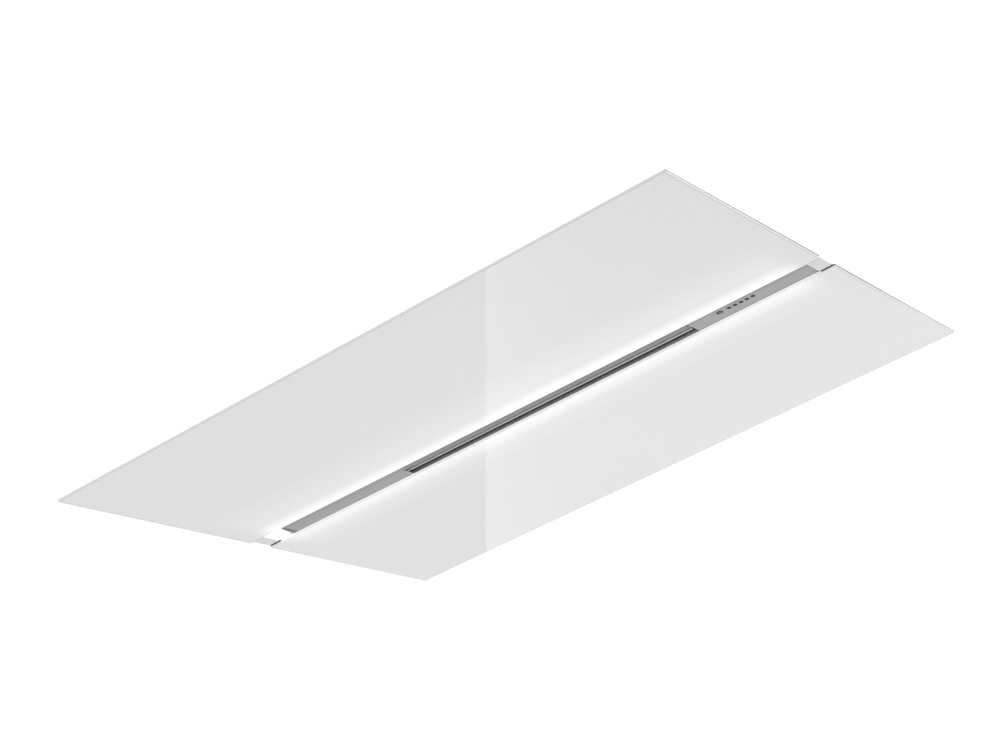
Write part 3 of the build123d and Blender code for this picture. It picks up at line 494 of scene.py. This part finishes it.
MATS = {
    "glass_white": glass_material("glass_white"),
    "pan_paint": powder_material("pan_paint"),
    "galvanised": galvanised_material("galvanised"),
    "stainless_strip": strip_material("stainless_strip"),
    "power_mark": power_material("power_mark"),
    "led_profile": profile_material("led_profile"),
    "galvanised_lap": galvanised_material("galvanised_lap", base=0.61, scale=130.0),
    "mesh_strand": satin_metal("mesh_strand", base=0.42, rough=0.42),
    "button_steel": plastic_material("button_dark", (0.030, 0.031, 0.032), rough=0.5, tex=900.0, strength=0.15),
    "cap_spacer": spacer_material("cap_spacer"),
    "cap_plastic": plastic_material("cap_plastic", (0.765, 0.77, 0.77), rough=0.45, tex=800.0, strength=0.18, var=0.05),
    "aluminium": satin_metal("aluminium", base=0.66, rough=0.32),
    "filter_mesh": mesh_plate_material("filter_mesh"),
    "fan_plastic": plastic_material("fan_plastic", (0.03, 0.03, 0.033), rough=0.5),
    "flap_plastic": plastic_material("flap_plastic", (0.055, 0.056, 0.06), rough=0.52),
    "box_plastic": plastic_material("box_plastic", (0.70, 0.70, 0.675), rough=0.5, var=0.05),
    "gland_plastic": plastic_material("gland_plastic", (0.13, 0.135, 0.14), rough=0.45),
    "circuit_board": board_material("circuit_board"),
    "opal_lit": opal_material("opal_lit"),
    "motor_paint": powder_material("motor_paint", (0.03, 0.03, 0.032)),
    "bright_steel": satin_metal("bright_steel", base=0.68, rough=0.2),
    "zinc_screw": satin_metal("zinc_screw", base=0.70, rough=0.26, tint=(1.0, 1.0, 1.03)),
    "rubber": plastic_material("rubber", (0.022, 0.022, 0.023), rough=0.75, tex=1200.0, strength=0.4, var=0.2),
    "magnet": plastic_material("magnet", (0.10, 0.098, 0.095), rough=0.42),
}
MATS["led_board"] = led_board_material("led_board")

slot_of = {s["node"]: s["material_slot"] for s in frame["record"]["subparts"]}
for name, ob in N.items():
    m = MATS[slot_of[name]]
    if name in ("led_strip_back", "led_strip_front", "end_led_board"):
        m = MATS["led_board"]
    if name in ("led_profile_back", "led_profile_front"):
        m = MATS["led_profile"]
    if name == "power_button":
        m = MATS["power_mark"]
    if not ob.material_slots:
        ob.data.materials.append(m)
    for s in ob.material_slots:
        s.link = "OBJECT"
        s.material = m


# ---------------------------------------------------------------------------
# mesh building in millimetres
# ---------------------------------------------------------------------------
class Build:
    """Collects closed shapes in millimetres and turns them into one piece that rides on a body."""

    def __init__(self):
        self.v = []
        self.f = []

    def add(self, verts, faces):
        o = len(self.v)
        self.v += [tuple(p) for p in verts]
        self.f += [tuple(i + o for i in fc) for fc in faces]

    def prism(self, outline, z0, z1, place=None):
        """A flat outline of (u, v) points, extruded from z0 to z1."""
        n = len(outline)
        pts = [(u, v, z0) for u, v in outline] + [(u, v, z1) for u, v in outline]
        if place:
            pts = [place(*p) for p in pts]
        faces = [tuple(reversed(range(n))), tuple(range(n, 2 * n))]
        faces += [(k, (k + 1) % n, n + (k + 1) % n, n + k) for k in range(n)]
        self.add(pts, faces)

    def rings(self, loops, cap=True):
        """Closed loops of equal length, joined one to the next."""
        n = len(loops[0])
        pts = [p for lp in loops for p in lp]
        faces = []
        for a in range(len(loops) - 1):
            for k in range(n):
                k2 = (k + 1) % n
                faces.append((a * n + k, a * n + k2, (a + 1) * n + k2, (a + 1) * n + k))
        if cap:
            faces.append(tuple(reversed(range(n))))
            faces.append(tuple(range((len(loops) - 1) * n, len(loops) * n)))
        self.add(pts, faces)

    def bead(self, place, p0, p1, w, h, sink=0.25, seg=9):
        """A pressed rib with round ends between two points of a sheet: w is its half width, h its height."""
        ax, ay = p0
        bx_, by_ = p1
        ln = math.hypot(bx_ - ax, by_ - ay) or 1.0
        tx, ty = (bx_ - ax) / ln, (by_ - ay) / ln
        nx, ny = -ty, tx
        loops = []
        prof = [(1.0, -sink), (1.0, 0.0)] + [(1 - s, h * math.sin(math.pi / 2 * s)) for s in (0.12, 0.28, 0.46, 0.66, 0.9)]
        for r, z in prof:
            lp = []
            for k in range(seg + 1):
                t = -math.pi / 2 + math.pi * k / seg
                c, s = math.cos(t), math.sin(t)
                lp.append(place(bx_ + w * r * (tx * c + nx * s), by_ + w * r * (ty * c + ny * s), z))
            for k in range(seg + 1):
                t = math.pi / 2 + math.pi * k / seg
                c, s = math.cos(t), math.sin(t)
                lp.append(place(ax + w * r * (tx * c + nx * s), ay + w * r * (ty * c + ny * s), z))
            loops.append(lp)
        self.rings(loops)

    def dome(self, place, u, v, r, h, pit=0.0, seg=16, sink=0.2):
        """A rivet head. pit is the radius of the hole that its pulled pin leaves."""
        prof = [(1.0, -sink), (1.0, 0.12 * h), (0.93, 0.45 * h), (0.78, 0.75 * h), (0.55, 0.94 * h)]
        if pit:
            prof += [(pit / r + 0.06, h), (pit / r, 0.8 * h), (pit / r * 0.8, 0.25 * h)]
        else:
            prof += [(0.25, h)]
        loops = [[place(u + r * q * math.cos(2 * math.pi * k / seg), v + r * q * math.sin(2 * math.pi * k / seg), z) for k in range(seg)] for q, z in prof]
        self.rings(loops)

    def lathe(self, at, axis, prof, seg=72):
        """A closed section of (radius, along) points turned round an axis: x, y or z."""
        cx_, cy_, cz_ = at
        loops = []
        for k in range(seg):
            t = 2 * math.pi * k / seg
            c, s = math.cos(t), math.sin(t)
            lp = []
            for r, a in prof:
                if axis == "x":
                    lp.append((cx_ + a, cy_ + r * c, cz_ + r * s))
                elif axis == "y":
                    lp.append((cx_ + r * c, cy_ + a, cz_ + r * s))
                else:
                    lp.append((cx_ + r * c, cy_ + r * s, cz_ + a))
            loops.append(lp)
        n = len(prof)
        pts = [p for lp in loops for p in lp]
        faces = []
        for a in range(seg):
            b = (a + 1) % seg
            for k in range(n):
                k2 = (k + 1) % n
                faces.append((a * n + k, a * n + k2, b * n + k2, b * n + k))
        self.add(pts, faces)

    def bar(self, p, q, w, h, up=(0, 0, 1)):
        """A flat strand from p to q, w wide and h thick."""
        p, q, up = Vector(p), Vector(q), Vector(up)
        d = (q - p).normalized()
        s = d.cross(up).normalized() * (w / 2)
        n = up.normalized() * (h / 2)
        pts = []
        for e in (p, q):
            pts += [e - s - n, e + s - n, e + s + n, e - s + n]
        self.add([tuple(x) for x in pts], [(3, 2, 1, 0), (4, 5, 6, 7), (0, 1, 5, 4), (1, 2, 6, 5), (2, 3, 7, 6), (3, 0, 4, 7)])

    def piece(self, name, mat, body, slot, smooth=35.0, bevel=0.0, flipped=False):
        me = bpy.data.meshes.new(name)
        sy = -1.0 if flipped else 1.0
        me.from_pydata([(x * MM, sy * y * MM, z * MM) for x, y, z in self.v], [], self.f)
        bm = bmesh.new()
        bm.from_mesh(me)
        bmesh.ops.recalc_face_normals(bm, faces=bm.faces)
        bm.to_mesh(me)
        bm.free()
        for p in me.polygons:
            p.use_smooth = True
        me.set_sharp_from_angle(angle=math.radians(smooth))
        me.materials.append(mat)
        ob = bpy.data.objects.new(name, me)
        scene.collection.objects.link(ob)
        if bevel:
            m = ob.modifiers.new("bevel", "BEVEL")
            m.width = bevel * MM
            m.segments = 2
            m.limit_method = "ANGLE"
            m.angle_limit = math.radians(50)
        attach(ob, body)
        return ob


def on_top(z0):
    return lambda u, v, n: (u, v, z0 + n)


def on_x(x0, s):
    return lambda u, v, n: (x0 * s + n * s, u, v)


def on_y(y0, s):
    return lambda u, v, n: (u, y0 * s + n * s, v)


# ---------------------------------------------------------------------------
# recessed tray: pressed ribs, corner laps and pulled rivets
# ---------------------------------------------------------------------------
B = Build()
top = on_top(110.0)
for y in (-262, -212, -162, -112, 112, 162, 212, 262):
    B.bead(top, (-452, y), (-252, y), 7.5, 2.4)
for y in (-262, -212, 160, 212, 262):
    B.bead(top, (252, y), (452, y), 7.5, 2.4)
for y in (-50, 0, 50):
    B.bead(top, (318, y), (452, y), 7.5, 2.4)
for s in (-1, 1):
    for y in (262, 302, 342):
        B.bead(top, (-200, s * y), (200, s * y), 7.5, 2.4)
B.piece("tray_top_ribs", MATS["galvanised"], "housing", "galvanised", smooth=60)

B = Build()
for s in (-1, 1):
    for k in range(12):
        x = -412.5 + 75 * k
        B.bead(on_y(381.0, s), (x, 30), (x, 96), 6.0, 1.8)
    for k in range(10):
        y = -337.5 + 75 * k
        B.bead(on_x(481.0, s), (y, 30), (y, 96), 6.0, 1.8)
B.piece("tray_side_ribs", MATS["galvanised"], "housing", "galvanised", smooth=60)


def corner_laps(hx, hy, leg, t, z0, z1, rivet_zs, name, mat):
    laps, rivets = Build(), Build()
    for sx in (-1, 1):
        for sy in (-1, 1):
            out = [(hx - leg, hy), (hx - leg, hy + t), (hx + t * 0.6, hy + t), (hx + t, hy + t * 0.6), (hx + t, hy - leg), (hx, hy - leg), (hx, hy)]
            out = [(sx * u, sy * v) for u, v in out]
            if sx * sy < 0:
                out.reverse()
            laps.prism(out, z0, z1)
            for z in rivet_zs:
                rivets.dome(on_y(hy + t, sy), sx * (hx - leg / 2), z, 3.1, 1.3, pit=1.1)
                rivets.dome(on_x(hx + t, sx), sy * (hy - leg / 2), z, 3.1, 1.3, pit=1.1)
    laps.piece(name + "_laps", mat, "housing", "galvanised", smooth=30)
    rivets.piece(name + "_rivets", MATS["aluminium"], "housing", "zinc_screw", smooth=40)


corner_laps(481.0, 381.0, 26.0, 0.9, 14.0, 109.2, (28, 62, 96), "tray_corner", MATS["galvanised_lap"])
corner_laps(210.0, 210.0, 22.0, 0.8, 111.6, 287.0, (132, 184, 236, 276), "box_corner", MATS["galvanised_lap"])

# ---------------------------------------------------------------------------
# motor box: pressed ribs on its four sides, and spot welds on its flange
# ---------------------------------------------------------------------------
B = Build()
for s in (-1, 1):
    for x in (-150, -100, -50, 0, 50, 100, 150):
        B.bead(on_y(210.0, s), (x, 134), (x, 272), 6.5, 1.9)
for y in (-150, -100, -50, 0, 50, 100, 150):
    B.bead(on_x(210.0, -1), (y, 134), (y, 272), 6.5, 1.9)
for y in (-150, -105, -60):
    B.bead(on_x(210.0, 1), (y, 134), (y, 272), 6.5, 1.9)
B.piece("box_side_ribs", MATS["galvanised"], "housing", "galvanised", smooth=60)

B = Build()
for s in (-1, 1):
    for v in (-190, -110, -75, -40, 40, 75, 110, 190):
        B.dome(on_top(111.2), v, s * 220, 2.6, 0.5)
        B.dome(on_top(111.2), s * 220, v, 2.6, 0.5)
    for v in (-168, -140, 140, 168):
        B.dome(on_x(211.2, s), v, 294, 2.4, 0.5)
        B.dome(on_y(211.2, s), v, 294, 2.4, 0.5)
B.piece("box_spot_welds", MATS["galvanised_lap"], "housing", "galvanised", smooth=60)

# ---------------------------------------------------------------------------
# duct collar: rolled stop bead, curled mouth and lap seam
# ---------------------------------------------------------------------------
B = Build()
prof = []
for k in range(13):
    t = math.pi * k / 12
    prof.append((74.4 + 2.3 * math.sin(t), 20.0 - 4.2 * math.cos(t)))
prof += [(74.0, 24.2), (74.0, 15.8)]
B.lathe((210.0, 60.0, 206.0), "x", prof, seg=96)
curl = [(73.9 + 0.95 * math.cos(2 * math.pi * k / 10), 80.4 + 0.95 * math.sin(2 * math.pi * k / 10)) for k in range(10)]
B.lathe((210.0, 60.0, 206.0), "x", curl, seg=96)
B.piece("collar_beads", MATS["galvanised_lap"], "housing", "galvanised", smooth=60)
B = Build()
seam = []
for k in range(7):
    t = math.radians(-96 + 2.0 * k)
    seam.append((74.5 * math.cos(t), 74.5 * math.sin(t)))
for k in range(7):
    t = math.radians(-84 - 2.0 * k)
    seam.append((75.25 * math.cos(t), 75.25 * math.sin(t)))
B.prism(seam, 236.0, 288.5, place=lambda u, v, n: (n, 60.0 + u, 206.0 + v))
for k in range(4):
    t = math.radians(-90)
    B.dome(lambda u, v, n: (u, 60.0 + v, 206.0 - 75.2 - n), 243.0 + 13.0 * k, 0.0, 2.2, 0.45)
B.piece("collar_seam", MATS["galvanised_lap"], "housing", "galvanised", smooth=50)

# ---------------------------------------------------------------------------
# electronics box, its gland and the light driver
# ---------------------------------------------------------------------------
B = Build()
for s in (-1, 1):
    for k in range(11):
        x = -372 + 9.6 * k
        B.bead(on_y(70.0, s), (x, 120), (x, 142), 2.0, 0.9, seg=6)
for k in range(11):
    y = -45 + 9 * k
    B.bead(on_x(-250.0, -1), (y, 120), (y, 142), 2.0, 0.9, seg=6)
B.piece("electronics_box_ribs", MATS["box_plastic"], "housing", "box_plastic", smooth=60)
B = Build()
lidtop = on_top(153.0)
for y in (-36, -24, -12, 0, 12, 24, 36):
    B.bead(lidtop, (-372, y), (-278, y), 2.2, 1.0, seg=6)
for a, b in (((-386, -58), (-264, -58)), ((-386, 58), (-264, 58)), ((-394, -50), (-394, 50)), ((-256, -50), (-256, 50))):
    B.bead(lidtop, a, b, 1.3, 0.7, seg=5)
B.piece("electronics_lid_ribs", MATS["box_plastic"], "housing", "box_plastic", smooth=60)

B = Build()
for k in range(30):
    t = 2 * math.pi * k / 30
    c, s = math.cos(t), math.sin(t)
    B.bar((-418.2, 11.2 * c, 131 + 11.2 * s), (-407.6, 11.2 * c, 131 + 11.2 * s), 1.1, 0.9, up=(0, c, s))
hexa = [(13.6 * math.cos(math.pi / 3 * k), 13.6 * math.sin(math.pi / 3 * k)) for k in range(6)]
B.prism(hexa, -405.9, -401.6, place=lambda u, v, n: (n, u, 131.0 + v))
B.piece("gland_grip", MATS["gland_plastic"], "housing", "gland_plastic", smooth=30, bevel=0.35)
B = Build()
B.lathe((-420.0, 0.0, 131.0), "x", [(5.6, -0.3), (8.6, -0.3), (9.6, 0.6), (9.6, 1.5), (5.6, 1.5), (5.2, 0.6)], seg=48)
B.piece("gland_seal", MATS["rubber"], "housing", "gland_plastic", smooth=40)

B = Build()
for k in range(14):
    x = 314.0 + 7.8 * k
    B.bead(on_top(132.0), (x, -138), (x, -102), 1.7, 1.4, seg=6)
for x in (306.5, 423.5):
    B.bead(on_top(132.0), (x, -139), (x, -101), 1.0, 0.7, seg=5)
B.piece("driver_fins", MATS["box_plastic"], "housing", "box_plastic", smooth=60)
B = Build()
for x in (296.0, 434.0):
    B.dome(on_top(112.0), x, -127.0, 3.2, 1.9, seg=20)
    B.dome(on_top(112.0), x, -113.0, 3.2, 1.9, seg=20)
B.piece("driver_rivets", MATS["zinc_screw"], "housing", "zinc_screw", smooth=45)

# ---------------------------------------------------------------------------
# hinged panels: pressed ribs in the pans, glue beads round the glass
# ---------------------------------------------------------------------------
for body, flipped in (("back_panel", False), ("front_panel", True)):
    B = Build()
    inside = on_top(4.8)
    for a, b in ((-462, -336), (-304, -176), (-144, 144), (176, 304), (336, 462)):
        for y in (92, 136, 180, 224, 268, 312):
            B.bead(inside, (a, y), (b, y), 7.0, 2.6)
    B.piece("pan_ribs_" + body, MATS["pan_paint"], body, "pan_paint", smooth=60, flipped=flipped)
    B = Build()
    for x in (-400.0, 0.0, 400.0):
        for dx in (-17, 0, 17):
            for y in (361.0, 379.0):
                B.dome(on_top(6.0), x + dx, y, 3.0, 1.3, pit=1.1)
    B.piece("hinge_rivets_" + body, MATS["zinc_screw"], body, "pan_paint", smooth=45, flipped=flipped)
    # a bead of black glazing sealant along the pan's outer edge, on the glass
    B = Build()
    for s in (-1, 1):
        B.bead(on_top(4.0), (s * 478.6, 60), (s * 478.6, 370), 2.1, 2.2, seg=8)
    B.bead(on_top(4.0), (-470, 46.0), (470, 46.0), 1.7, 1.6, seg=8)
    B.piece("glass_sealant_" + body, MATS["rubber"], body, "glass_white", smooth=60, flipped=flipped)

# ---------------------------------------------------------------------------
# filters: expanded metal under each mesh, and corner rivets on each frame
# ---------------------------------------------------------------------------
def lattice(flipped, name):
    """Zigzag strands that touch at their crests, as slit and pulled sheet has, in the frame's opening."""
    step, pitch, amp = 5.6, 6.4, 2.55
    B = Build()
    y = 96.2
    row = 0
    while y < 338.6:
        n = int((297.0 * 2) / step)
        pts = []
        for k in range(n + 1):
            x = -n * step / 2 + k * step
            up = (k + row) % 2
            pts.append((x, y + (amp if up else -amp), 48.35 + (0.22 if up else -0.22)))
        run = []
        for p, q in zip(pts, pts[1:]):
            x = (p[0] + q[0]) / 2
            if 255.0 < x < 296.5 and y < 127.0:
                run = []
                continue
            B.bar(p, q, 1.0, 0.5)
        y += pitch * 0.9
        row += 1
    B.piece(name, MATS["mesh_strand"], "housing", "filter_mesh", smooth=30, flipped=flipped)


lattice(False, "filter_lattice_back")
lattice(True, "filter_lattice_front")
for flipped, tag in ((False, "back"), (True, "front")):
    B = Build()
    for x in (-296.6, 296.6):
        for y in (94.6, 339.4):
            B.dome(lambda u, v, n: (u, v, 45.0 - n), x * 0.992, y, 1.6, 0.8, seg=14)
    B.piece("filter_rivets_" + tag, MATS["zinc_screw"], "housing", "aluminium", smooth=45, flipped=flipped)

# ---------------------------------------------------------------------------
# the slot: trim beside the suction opening, dark rings round the buttons and dark seals at the caps, both standing in
# for shade
# ---------------------------------------------------------------------------
B = Build()
B.prism([(-20.4, 4.5), (-20.4, 4.15), (-0.35, 4.15), (-0.05, 4.3), (-0.05, 4.5)], -216.0, 284.4, place=lambda u, v, n: (n, u, v))
B.piece("suction_trim", MATS["stainless_strip"], "housing", "stainless_strip", smooth=30)

# painted shade: dark rings round the five keys stand in for the shaded gap round each key
B = Build()
for k in range(5):
    shade_rim = [(2.9, 4.5), (2.9, 4.3), (3.02, 4.22), (3.2, 4.22), (3.38, 4.34), (3.38, 4.5)]
    B.lathe((348.0 + 9.4 * k, 0.0, 0.0), "z", shade_rim, seg=40)
B.piece("button_shade_rims", MATS["button_steel"], "housing", "button_steel", smooth=40)

# moulded plugs that close the ends of the light channels
for body, flipped in (("back_panel", False), ("front_panel", True)):
    B = Build()
    for s in (-1, 1):
        x0, x1 = sorted((s * 470.05, s * 477.2))
        out = [(23.0, 4.0), (37.0, 4.0), (37.0, 8.4), (36.4, 9.0), (23.6, 9.0), (23.0, 8.4)]
        B.prism(out, x0, x1, place=lambda u, v, n: (n, u, v))
    B.piece("channel_plugs_" + body, MATS["cap_plastic"], body, "cap_plastic", smooth=30, bevel=0.2, flipped=flipped)

for s, tag in ((-1, "left"), (1, "right")):
    # painted shade: dark rubber seals in the gaps beside each cap; their dark colour stands in for the shade in those
    # gaps
    B = Build()
    for v in (-1, 1):
        y0, y1 = sorted((v * 17.2, v * 20.5))
        out = [(y0, 3.1), (y0 + 0.4, 2.7), (y1 - 0.4, 2.7), (y1, 3.1), (y1, 3.5), (y0, 3.5)]
        x0, x1 = sorted((s * 478.6, s * 496.6))
        B.prism(out, x0, x1, place=lambda u, w, n: (n, u, w))
    B.piece("cap_shade_seal_" + tag, MATS["rubber"], "housing", "cap_plastic", smooth=40)
    B = Build()
    for v in (-1, 1):
        y0, y1 = sorted((v * 17.2, v * 20.6))
        out = [(y0, 3.55), (y1, 3.55), (y1, 9.2), (y1 - 0.4, 9.6), (y0 + 0.4, 9.6), (y0, 9.2)]
        if v > 0:                                       # steps out over the glass edge
            out[2:3] = [(y1, 4.5), (22.7, 4.5), (22.7, 9.2), (22.3, 9.6)]
            del out[6]
        else:
            out[0:1] = [(-22.7, 9.2), (-22.7, 4.5), (y0, 4.5), (y0, 3.55)]
            out[-2:] = [(-22.3, 9.6)]
        x0, x1 = sorted((s * 477.9, s * 496.8))
        B.prism(out, x0, x1, place=lambda u, w, n: (n, u, w))
    B.piece("cap_spacer_" + tag, MATS["cap_spacer"], "housing", "cap_plastic", smooth=30, bevel=0.15)


# ---------------------------------------------------------------------------
# stage: pale floor far below, a white ceiling seen only from below, soft lights
# ---------------------------------------------------------------------------
FLOOR_Z = -1.75
BOARD = 0.47


def plain_mesh(name, verts, faces):
    me = bpy.data.meshes.new(name)
    me.from_pydata(verts, [], faces)
    me.update()
    ob = bpy.data.objects.new(name, me)
    scene.collection.objects.link(ob)
    return ob


def make_floor():
    ring, verts, faces = 96, [(0, 0, FLOOR_Z)], []
    for k in range(ring):
        a = 2 * math.pi * k / ring
        verts.append((60 * math.cos(a), 60 * math.sin(a), FLOOR_Z))
    for k in range(ring):
        faces.append((0, 1 + k, 1 + (k + 1) % ring))
    ob = plain_mesh("floor", verts, faces)
    M = Mat("floor_pale", rough=0.7, spec=0.2)
    x, y, z = M.xyz()
    d = M.math("SQRT", M.math("ADD", M.math("MULTIPLY", x, x), M.math("MULTIPLY", y, y)))
    far = M.remap(d, 3.0, 11.0, 0.0, 1.0, smooth=True)
    M.to(M.mix(M.noise(1.3, 3.0), (0.80, 0.80, 0.80), (0.83, 0.83, 0.828)), "Base Color")
    em = M.t.nodes.new("ShaderNodeEmission")
    em.inputs[0].default_value = (1, 1, 1, 1)
    em.inputs[1].default_value = 1.0
    mx = M.t.nodes.new("ShaderNodeMixShader")
    M.t.links.new(far, mx.inputs[0])
    M.t.links.new(M.b.outputs[0], mx.inputs[1])
    M.t.links.new(em.outputs[0], mx.inputs[2])
    M.t.links.new(mx.outputs[0], M.out.inputs[0])
    ob.data.materials.append(M.m)


def make_ceiling():
    """A plain white ceiling round the hood. It shows from below only, so that the body stays visible from above."""
    z, hx, hy, far = 4.6 * MM, 0.488, 0.386, 14.0
    outer = [(-far, -far, z), (far, -far, z), (far, far, z), (-far, far, z)]
    inner = [(-hx, -hy, z), (hx, -hy, z), (hx, hy, z), (-hx, hy, z)]
    ob = plain_mesh("ceiling", outer + inner, [(0, 1, 5, 4), (1, 2, 6, 5), (2, 3, 7, 6), (3, 0, 4, 7)])
    m = bpy.data.materials.new("ceiling_white")
    m.use_nodes = True
    t = m.node_tree
    t.nodes.clear()
    out = t.nodes.new("ShaderNodeOutputMaterial")
    geo = t.nodes.new("ShaderNodeNewGeometry")
    lp = t.nodes.new("ShaderNodeLightPath")
    see = t.nodes.new("ShaderNodeMath")
    see.operation = "MULTIPLY"
    t.links.new(geo.outputs["Backfacing"], see.inputs[0])
    t.links.new(lp.outputs["Is Camera Ray"], see.inputs[1])
    tr = t.nodes.new("ShaderNodeBsdfTransparent")
    em = t.nodes.new("ShaderNodeEmission")
    em.inputs[0].default_value = (1, 1, 1, 1)
    em.inputs[1].default_value = 1.02
    mx = t.nodes.new("ShaderNodeMixShader")
    t.links.new(see.outputs[0], mx.inputs[0])
    t.links.new(tr.outputs[0], mx.inputs[1])
    t.links.new(em.outputs[0], mx.inputs[2])
    t.links.new(mx.outputs[0], out.inputs[0])
    ob.data.materials.append(m)
    ob.visible_shadow = False
    ob.visible_diffuse = False
    ob.visible_glossy = False
    ob.visible_transmission = False


def make_world():
    w = bpy.data.worlds.new("studio")
    scene.world = w
    w.use_nodes = True
    t = w.node_tree
    t.nodes.clear()
    out = t.nodes.new("ShaderNodeOutputWorld")
    lp = t.nodes.new("ShaderNodeLightPath")
    lit = t.nodes.new("ShaderNodeBackground")
    lit.inputs[0].default_value = (1.0, 1.0, 1.0, 1)
    lit.inputs[1].default_value = 0.66
    seen = t.nodes.new("ShaderNodeBackground")
    seen.inputs[0].default_value = (1, 1, 1, 1)
    seen.inputs[1].default_value = 1.02
    mx = t.nodes.new("ShaderNodeMixShader")
    t.links.new(lp.outputs["Is Camera Ray"], mx.inputs[0])
    t.links.new(lit.outputs[0], mx.inputs[1])
    t.links.new(seen.outputs[0], mx.inputs[2])
    t.links.new(mx.outputs[0], out.inputs[0])


def area(name, at, look, size, power, colour=(1, 1, 1)):
    d = bpy.data.lights.new(name, "AREA")
    d.shape = "RECTANGLE"
    d.size, d.size_y = size
    d.energy = power
    d.color = colour
    o = bpy.data.objects.new(name, d)
    scene.collection.objects.link(o)
    o.location = at
    o.rotation_euler = (Vector(look) - Vector(at)).to_track_quat("-Z", "Y").to_euler()
    o.visible_camera = False
    return o


def make_reflected_card():
    """A dim glow board under the hood that only the glass mirrors: its straight edge crosses both panels."""
    z, along, right = -1.5, Vector((-0.6052, 0.7961, 0)), Vector((0.7961, 0.6052, 0))
    a = Vector((-1.280, 2.127, z))
    v = [a - along * 1.5, a + along * 4.5, a + along * 4.5 + right * 3.5, a - along * 1.5 + right * 3.5]
    ob = plain_mesh("glow_board", [tuple(p) for p in v], [(0, 1, 2, 3)])
    m = bpy.data.materials.new("glow_board")
    m.use_nodes = True
    M = Mat.__new__(Mat)
    M.m, M.t = m, m.node_tree
    M.t.nodes.clear()
    out = M.t.nodes.new("ShaderNodeOutputMaterial")
    M.tc = M.t.nodes.new("ShaderNodeTexCoord")
    M.obj = M.tc.outputs["Object"]
    x, y, zz = M.xyz()
    d = M.math("ADD", M.math("MULTIPLY", M.math("ADD", x, 1.280), 0.7961), M.math("MULTIPLY", M.math("SUBTRACT", y, 2.127), 0.6052))
    fall = M.math("EXPONENT", M.math("MULTIPLY", d, -3.4))
    rest = M.remap(y, 2.4, 3.6, 0.02, 0.42, smooth=True)
    level = M.math("ADD", M.math("MULTIPLY", fall, M.math("SUBTRACT", 1.0, rest)), rest)
    em = M.t.nodes.new("ShaderNodeEmission")
    em.inputs[0].default_value = (1, 1, 1, 1)
    M.t.links.new(M.math("MULTIPLY", level, BOARD), em.inputs[1])
    tr = M.t.nodes.new("ShaderNodeBsdfTransparent")
    add = M.t.nodes.new("ShaderNodeAddShader")
    M.t.links.new(em.outputs[0], add.inputs[0])
    M.t.links.new(tr.outputs[0], add.inputs[1])
    M.t.links.new(add.outputs[0], out.inputs[0])
    ob.data.materials.append(m)
    ob.visible_camera = False
    ob.visible_diffuse = False
    ob.visible_shadow = False
    ob.visible_transmission = False


make_floor()
make_ceiling()
make_world()
area("key", (-2.6, -2.2, 3.2), (0, 0, 0.1), (2.4, 1.6), 95.0, (1.0, 0.99, 0.97))
area("shade_rim", (2.8, 2.4, 2.2), (0, 0, 0.1), (1.6, 2.2), 55.0, (0.97, 0.985, 1.0))
area("low", (-0.1, 0.0, -1.5), (-0.1, 0.0, 0.1), (2.6, 1.0), 3.3)
# light between the panels and the filters, as the lamps' spill gives it
for side in (-1, 1):
    area("plenum_" + ("back" if side > 0 else "front"), (0, side * 0.215, 0.0205), (0, side * 0.215, 1.0), (0.90, 0.28), 0.09)
make_reflected_card()
